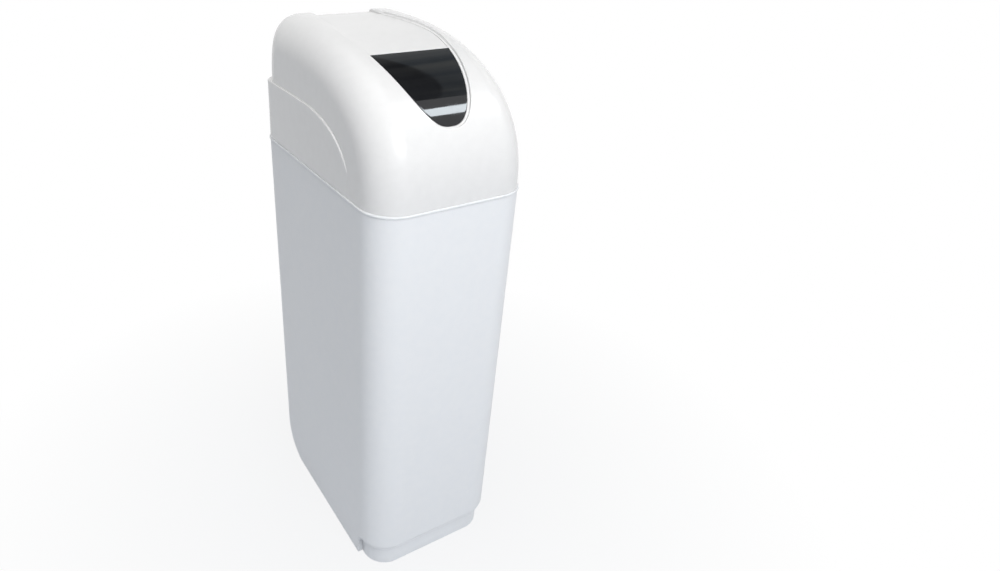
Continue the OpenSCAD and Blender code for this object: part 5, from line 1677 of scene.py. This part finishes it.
@dataclass
class BrineLine:
    """Stiff brine tube from the brine valve up and over to the injector nut."""

    wardrobe: Wardrobe
    radius: float = 0.00475
    around: int = 28
    per_span: int = 14
    reference: Triple = (1.0, -0.35, 0.2)
    route: tuple[Triple, ...] = (
        (-0.096, -0.1465, 0.784),
        (-0.096, -0.1335, 0.784),
        (-0.096, -0.1215, 0.784),
        (-0.102, -0.0855, 0.814),
        (-0.114, -0.0415, 0.867),
        (-0.122, 0.020, 0.9102),
        (-0.120, 0.076, 0.9332),
        (-0.102, 0.109, 0.9382),
        (-0.084, 0.120, 0.9382),
        (-0.070, 0.120, 0.9382),
        (-0.059, 0.120, 0.9382),
    )

    def build(self) -> None:
        """Makes the tube and hides its CAD node."""
        self.wardrobe.finish(self.tube(), Slot.TUBE, Body.CABINET, "brine_line")

    def centre_line(self) -> Array:
        """Curve through the route: cubic spans whose end slopes are half the neighbours' chord.

        Returns:
            (n, 3) points.
        """
        p = np.array(self.route)
        p = np.concatenate([2 * p[:1] - p[1:2], p, 2 * p[-1:] - p[-2:-1]])
        t = np.linspace(0.0, 1.0, self.per_span, endpoint=False)[None, :, None]
        a, b, c, d = (p[k : len(p) - 3 + k, None, :] for k in range(4))
        square, cube = 2 * a - 5 * b + 4 * c - d, 3 * b - a - 3 * c + d
        curve = 0.5 * (2 * b + (c - a) * t + square * t**2 + cube * t**3)
        return np.concatenate([curve.reshape(-1, 3), p[-2:-1]])

    def tube(self) -> Piece:
        """Circle carried along the centre line, square to it, drawn in to a point at both ends.

        Returns:
            The tube piece.
        """
        line = self.centre_line()
        ahead = np.gradient(line, axis=0)
        ahead /= np.linalg.norm(ahead, axis=1, keepdims=True)
        side = np.cross(ahead, self.reference)
        side /= np.linalg.norm(side, axis=1, keepdims=True)
        pick = np.concatenate([[0], np.arange(len(line)), [len(line) - 1]])
        size = np.concatenate([[0.0], np.full(len(line), self.radius), [0.0]])
        turn = np.linspace(0.0, TURN, self.around, endpoint=False)[None, :, None]
        other = np.cross(ahead, side)[pick][:, None]
        around = np.cos(turn) * side[pick][:, None] + np.sin(turn) * other
        grid = line[pick][:, None] + size[:, None, None] * around
        return add_grid("brine_tube", grid, close_cols=True)


# Stage


def stand(piece: Piece, *columns: Array | Triple) -> None:
    """Links a camera or lamp, with its right, up and back axes and its place as matrix columns."""
    bpy.context.scene.collection.objects.link(piece)
    piece.matrix_world = Matrix([*np.column_stack(columns).tolist(), [0.0, 0.0, 0.0, 1.0]])


@dataclass(frozen=True)
class Photographer:
    """Camera at the photograph's station, with its lens and framing."""

    place: Triple = (-0.6442, -1.1496, 1.3462)
    yaw: float = 0.5426
    pitch: float = 0.515
    roll: float = 0.0322
    lens: float = 25.0
    sensor: float = 36.0
    shift: Pair = (0.0978, -0.01225)
    clip: Pair = (0.02, 60.0)

    def build(self) -> None:
        """Makes the camera from its yaw, pitch and roll."""
        (cy, sy), (cp, sp), (cr, sr) = (
            (math.cos(a), math.sin(a)) for a in (self.yaw, self.pitch, self.roll)
        )
        ahead, right = np.array([sy * cp, cy * cp, -sp]), np.array([cy, -sy, 0.0])
        up = np.cross(right, ahead)
        right, up = cr * right + sr * up, -sr * right + cr * up
        data = bpy.data.cameras.new("photo_camera")
        data.lens, data.sensor_width = self.lens, self.sensor
        data.shift_x, data.shift_y = self.shift
        data.clip_start, data.clip_end = self.clip
        camera = bpy.data.objects.new("photo_camera", data)
        stand(camera, right, up, -ahead, self.place)
        bpy.context.scene.camera = camera


@dataclass(frozen=True)
class Lamp:
    """One soft area lamp that looks at a point; gloss or wash may leave it out."""

    name: str
    place: Triple
    aim: Triple
    size: Pair
    power: float
    color: Triple = (1.0, 1.0, 1.0)
    along: Triple | None = None
    gloss: bool = True
    wash: bool = True

    def build(self) -> None:
        """Makes the lamp with its -Z axis on the aim and its width level, or along a given way."""
        data = bpy.data.lights.new(self.name, "AREA")
        data.shape, data.size, data.size_y = "RECTANGLE", *self.size
        data.energy, data.color = self.power, self.color
        lamp = bpy.data.objects.new(self.name, data)
        lamp.visible_glossy, lamp.visible_diffuse = self.gloss, self.wash
        back = np.array(self.place) - np.array(self.aim)
        back /= np.linalg.norm(back)
        side = np.cross([0.0, 0.0, 1.0], back)
        if self.along:
            side = np.array(self.along) - back * np.dot(back, self.along)
        side /= np.linalg.norm(side)
        stand(lamp, side, np.cross(back, side), back, self.place)


@dataclass
class Studio:
    """Pale floor, white surround, soft lamps and a dark card for the window's gloss."""

    world_strength: float = 0.32
    lamps: tuple[Lamp, ...] = (
        Lamp("key_lamp", (0.15, -2.45, 2.7), (0.0, -0.05, 0.7), (1.3, 1.3), 26.5),
        Lamp("top_lamp", (-0.35, 0.1, 3.1), (0.0, 0.1, 0.9), (1.3, 1.3), 12.0, gloss=False),
        Lamp(
            "strip_lamp", (1.18, -0.95, 2.72), (0.0, -0.20, 1.02), (1.7, 0.30), 26.0,
            (0.88, 0.95, 1.0), along=(1.0, 0.0, 0.0), wash=False,
        ),
        Lamp(
            "front_lamp", (-0.40, -2.35, 2.35), (0.0, -0.1, 0.6), (1.5, 1.5), 32.0,
            (0.985, 0.99, 1.0), gloss=False,
        ),
        Lamp("left_fill", (-2.6, -0.1, 0.9), (0.0, 0.0, 0.6), (2.2, 1.6), 4.6, gloss=False),
        Lamp("rear_lamp", (1.5, 2.7, 1.1), (0.0, 0.1, 0.6), (1.8, 1.4), 16.0, gloss=False),
    )
    floor_half: float = 9.0
    floor_z: float = -0.0005
    floor_color: Triple = (0.48, 0.52, 0.58)
    floor_fade: Pair = (0.25, 1.1)
    floor_glow: float = 0.86
    flag_at: Triple = (1.55, 0.72, 3.45)
    flag_aim: Triple = (0.0, -0.15, 1.05)
    flag_size: Pair = (2.4, 6.0)
    flag_back: float = 1.6
    flag_fade: Pair = (0.5, 2.6)
    flag_left: tuple[Triple, Triple] = ((0.0, 0.0, 0.0), (0.10, 0.10, 0.085))
    flag_right: tuple[Triple, Triple] = ((0.12, 0.16, 0.20), (0.42, 0.44, 0.42))

    def build(self) -> None:
        """Makes the floor, the world, the card and the lamps, with the plain view transform."""
        bpy.context.scene.view_settings.view_transform = "Standard"
        self.floor()
        self.world()
        self.flag()
        for lamp in self.lamps:
            lamp.build()

    def floor(self) -> None:
        """Pale floor: a wide grid that keeps a faint shadow near the part and is white beyond."""
        line = np.linspace(-self.floor_half, self.floor_half, 19)
        x, y = np.meshgrid(line, line, indexing="xy")
        floor = add_grid("studio_floor", stack(x, y, self.floor_z))
        material, kit, shader = new_material("studio_white")
        kit.fill(shader, {"Base Color": self.floor_color, "Roughness": 0.9})
        away = kit.measure("LENGTH", kit.coords())
        share = kit.math("MULTIPLY", kit.seen(), kit.remap(away, *self.floor_fade, self.floor_glow))
        glow = kit.add("ShaderNodeEmission").outputs["Emission"]
        blend = kit.add("ShaderNodeMixShader", {0: share, 1: shader.outputs["BSDF"], 2: glow})
        output = material.node_tree.nodes["Material Output"]
        kit.fill(output, {"Surface": blend.outputs["Shader"]})
        floor.data.materials.append(material)

    def flag(self) -> None:
        """Dark streaked card above the part, only shown by gloss: a flat grid facing the window."""
        place = np.array(self.flag_at)
        back = np.array(self.flag_aim) - place
        back /= np.linalg.norm(back)
        side = np.cross([0.0, 1.0, 0.0], back)
        side /= np.linalg.norm(side)
        up = np.cross(back, side)
        line = np.linspace(-0.5, 0.5, 9)
        a, b = np.meshgrid(line, line, indexing="xy")
        spread = a[..., None] * side * self.flag_size[0] + b[..., None] * up * self.flag_size[1]
        card = add_grid("studio_flag", place + up * self.flag_back + spread)
        material, kit, shader = new_material("flag_cloth")
        coords = kit.coords()
        behind = kit.measure("DOT_PRODUCT", coords, up)
        beside = kit.measure("DOT_PRODUCT", coords, side)
        middle, here = float(np.dot(side, place)), float(np.dot(up, place))
        run = kit.add("ShaderNodeCombineXYZ", {"Y": behind}).outputs["Vector"]
        streak = kit.remap(kit.noise(run, 2.4, 5.0), 0.35, 0.65)
        right = kit.remap(beside, middle - 0.01, middle + 0.01, 1.0, 0.0)
        halves = (kit.mix(streak, *colors) for colors in (self.flag_left, self.flag_right))
        looks = {
            "Base Color": (0.01, 0.01, 0.01),
            "Roughness": 1.0,
            "Emission Color": kit.mix(right, *halves),
            "Emission Strength": 1.0,
            "Alpha": kit.remap(behind, *(here + d for d in self.flag_fade), 1.0, 0.0),
        }
        kit.fill(shader, looks)
        card.data.materials.append(material)
        card.visible_camera = card.visible_diffuse = False
        card.visible_shadow = card.visible_transmission = False

    def world(self) -> None:
        """White surround: full white to the camera and in gloss and glass, dimmer as light."""
        world = bpy.data.worlds.new("studio_world")
        bpy.context.scene.world = world
        world.use_nodes = True
        kit = NodeKit(world.node_tree)
        strength = kit.remap(kit.seen(), 0.0, 1.0, self.world_strength, 1.0)
        background = world.node_tree.nodes["Background"]
        kit.fill(background, {"Color": (1.0, 1.0, 1.0), "Strength": strength})


def main() -> None:
    """Builds the sub-assemblies in order."""
    logging.basicConfig(level=logging.INFO, format="%(name)s: %(message)s")
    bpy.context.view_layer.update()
    Photographer().build()
    Studio().build()
    wardrobe = Wardrobe()
    wardrobe.dress_nodes()
    chart = LeafChart(HoodForm())
    Cabinet(wardrobe).build()
    Hood(wardrobe, chart).build()
    Lid(wardrobe, chart).build()
    TimerFace(wardrobe).build()
    BrineLine(wardrobe).build()


if __name__ == "__main__":
    main()
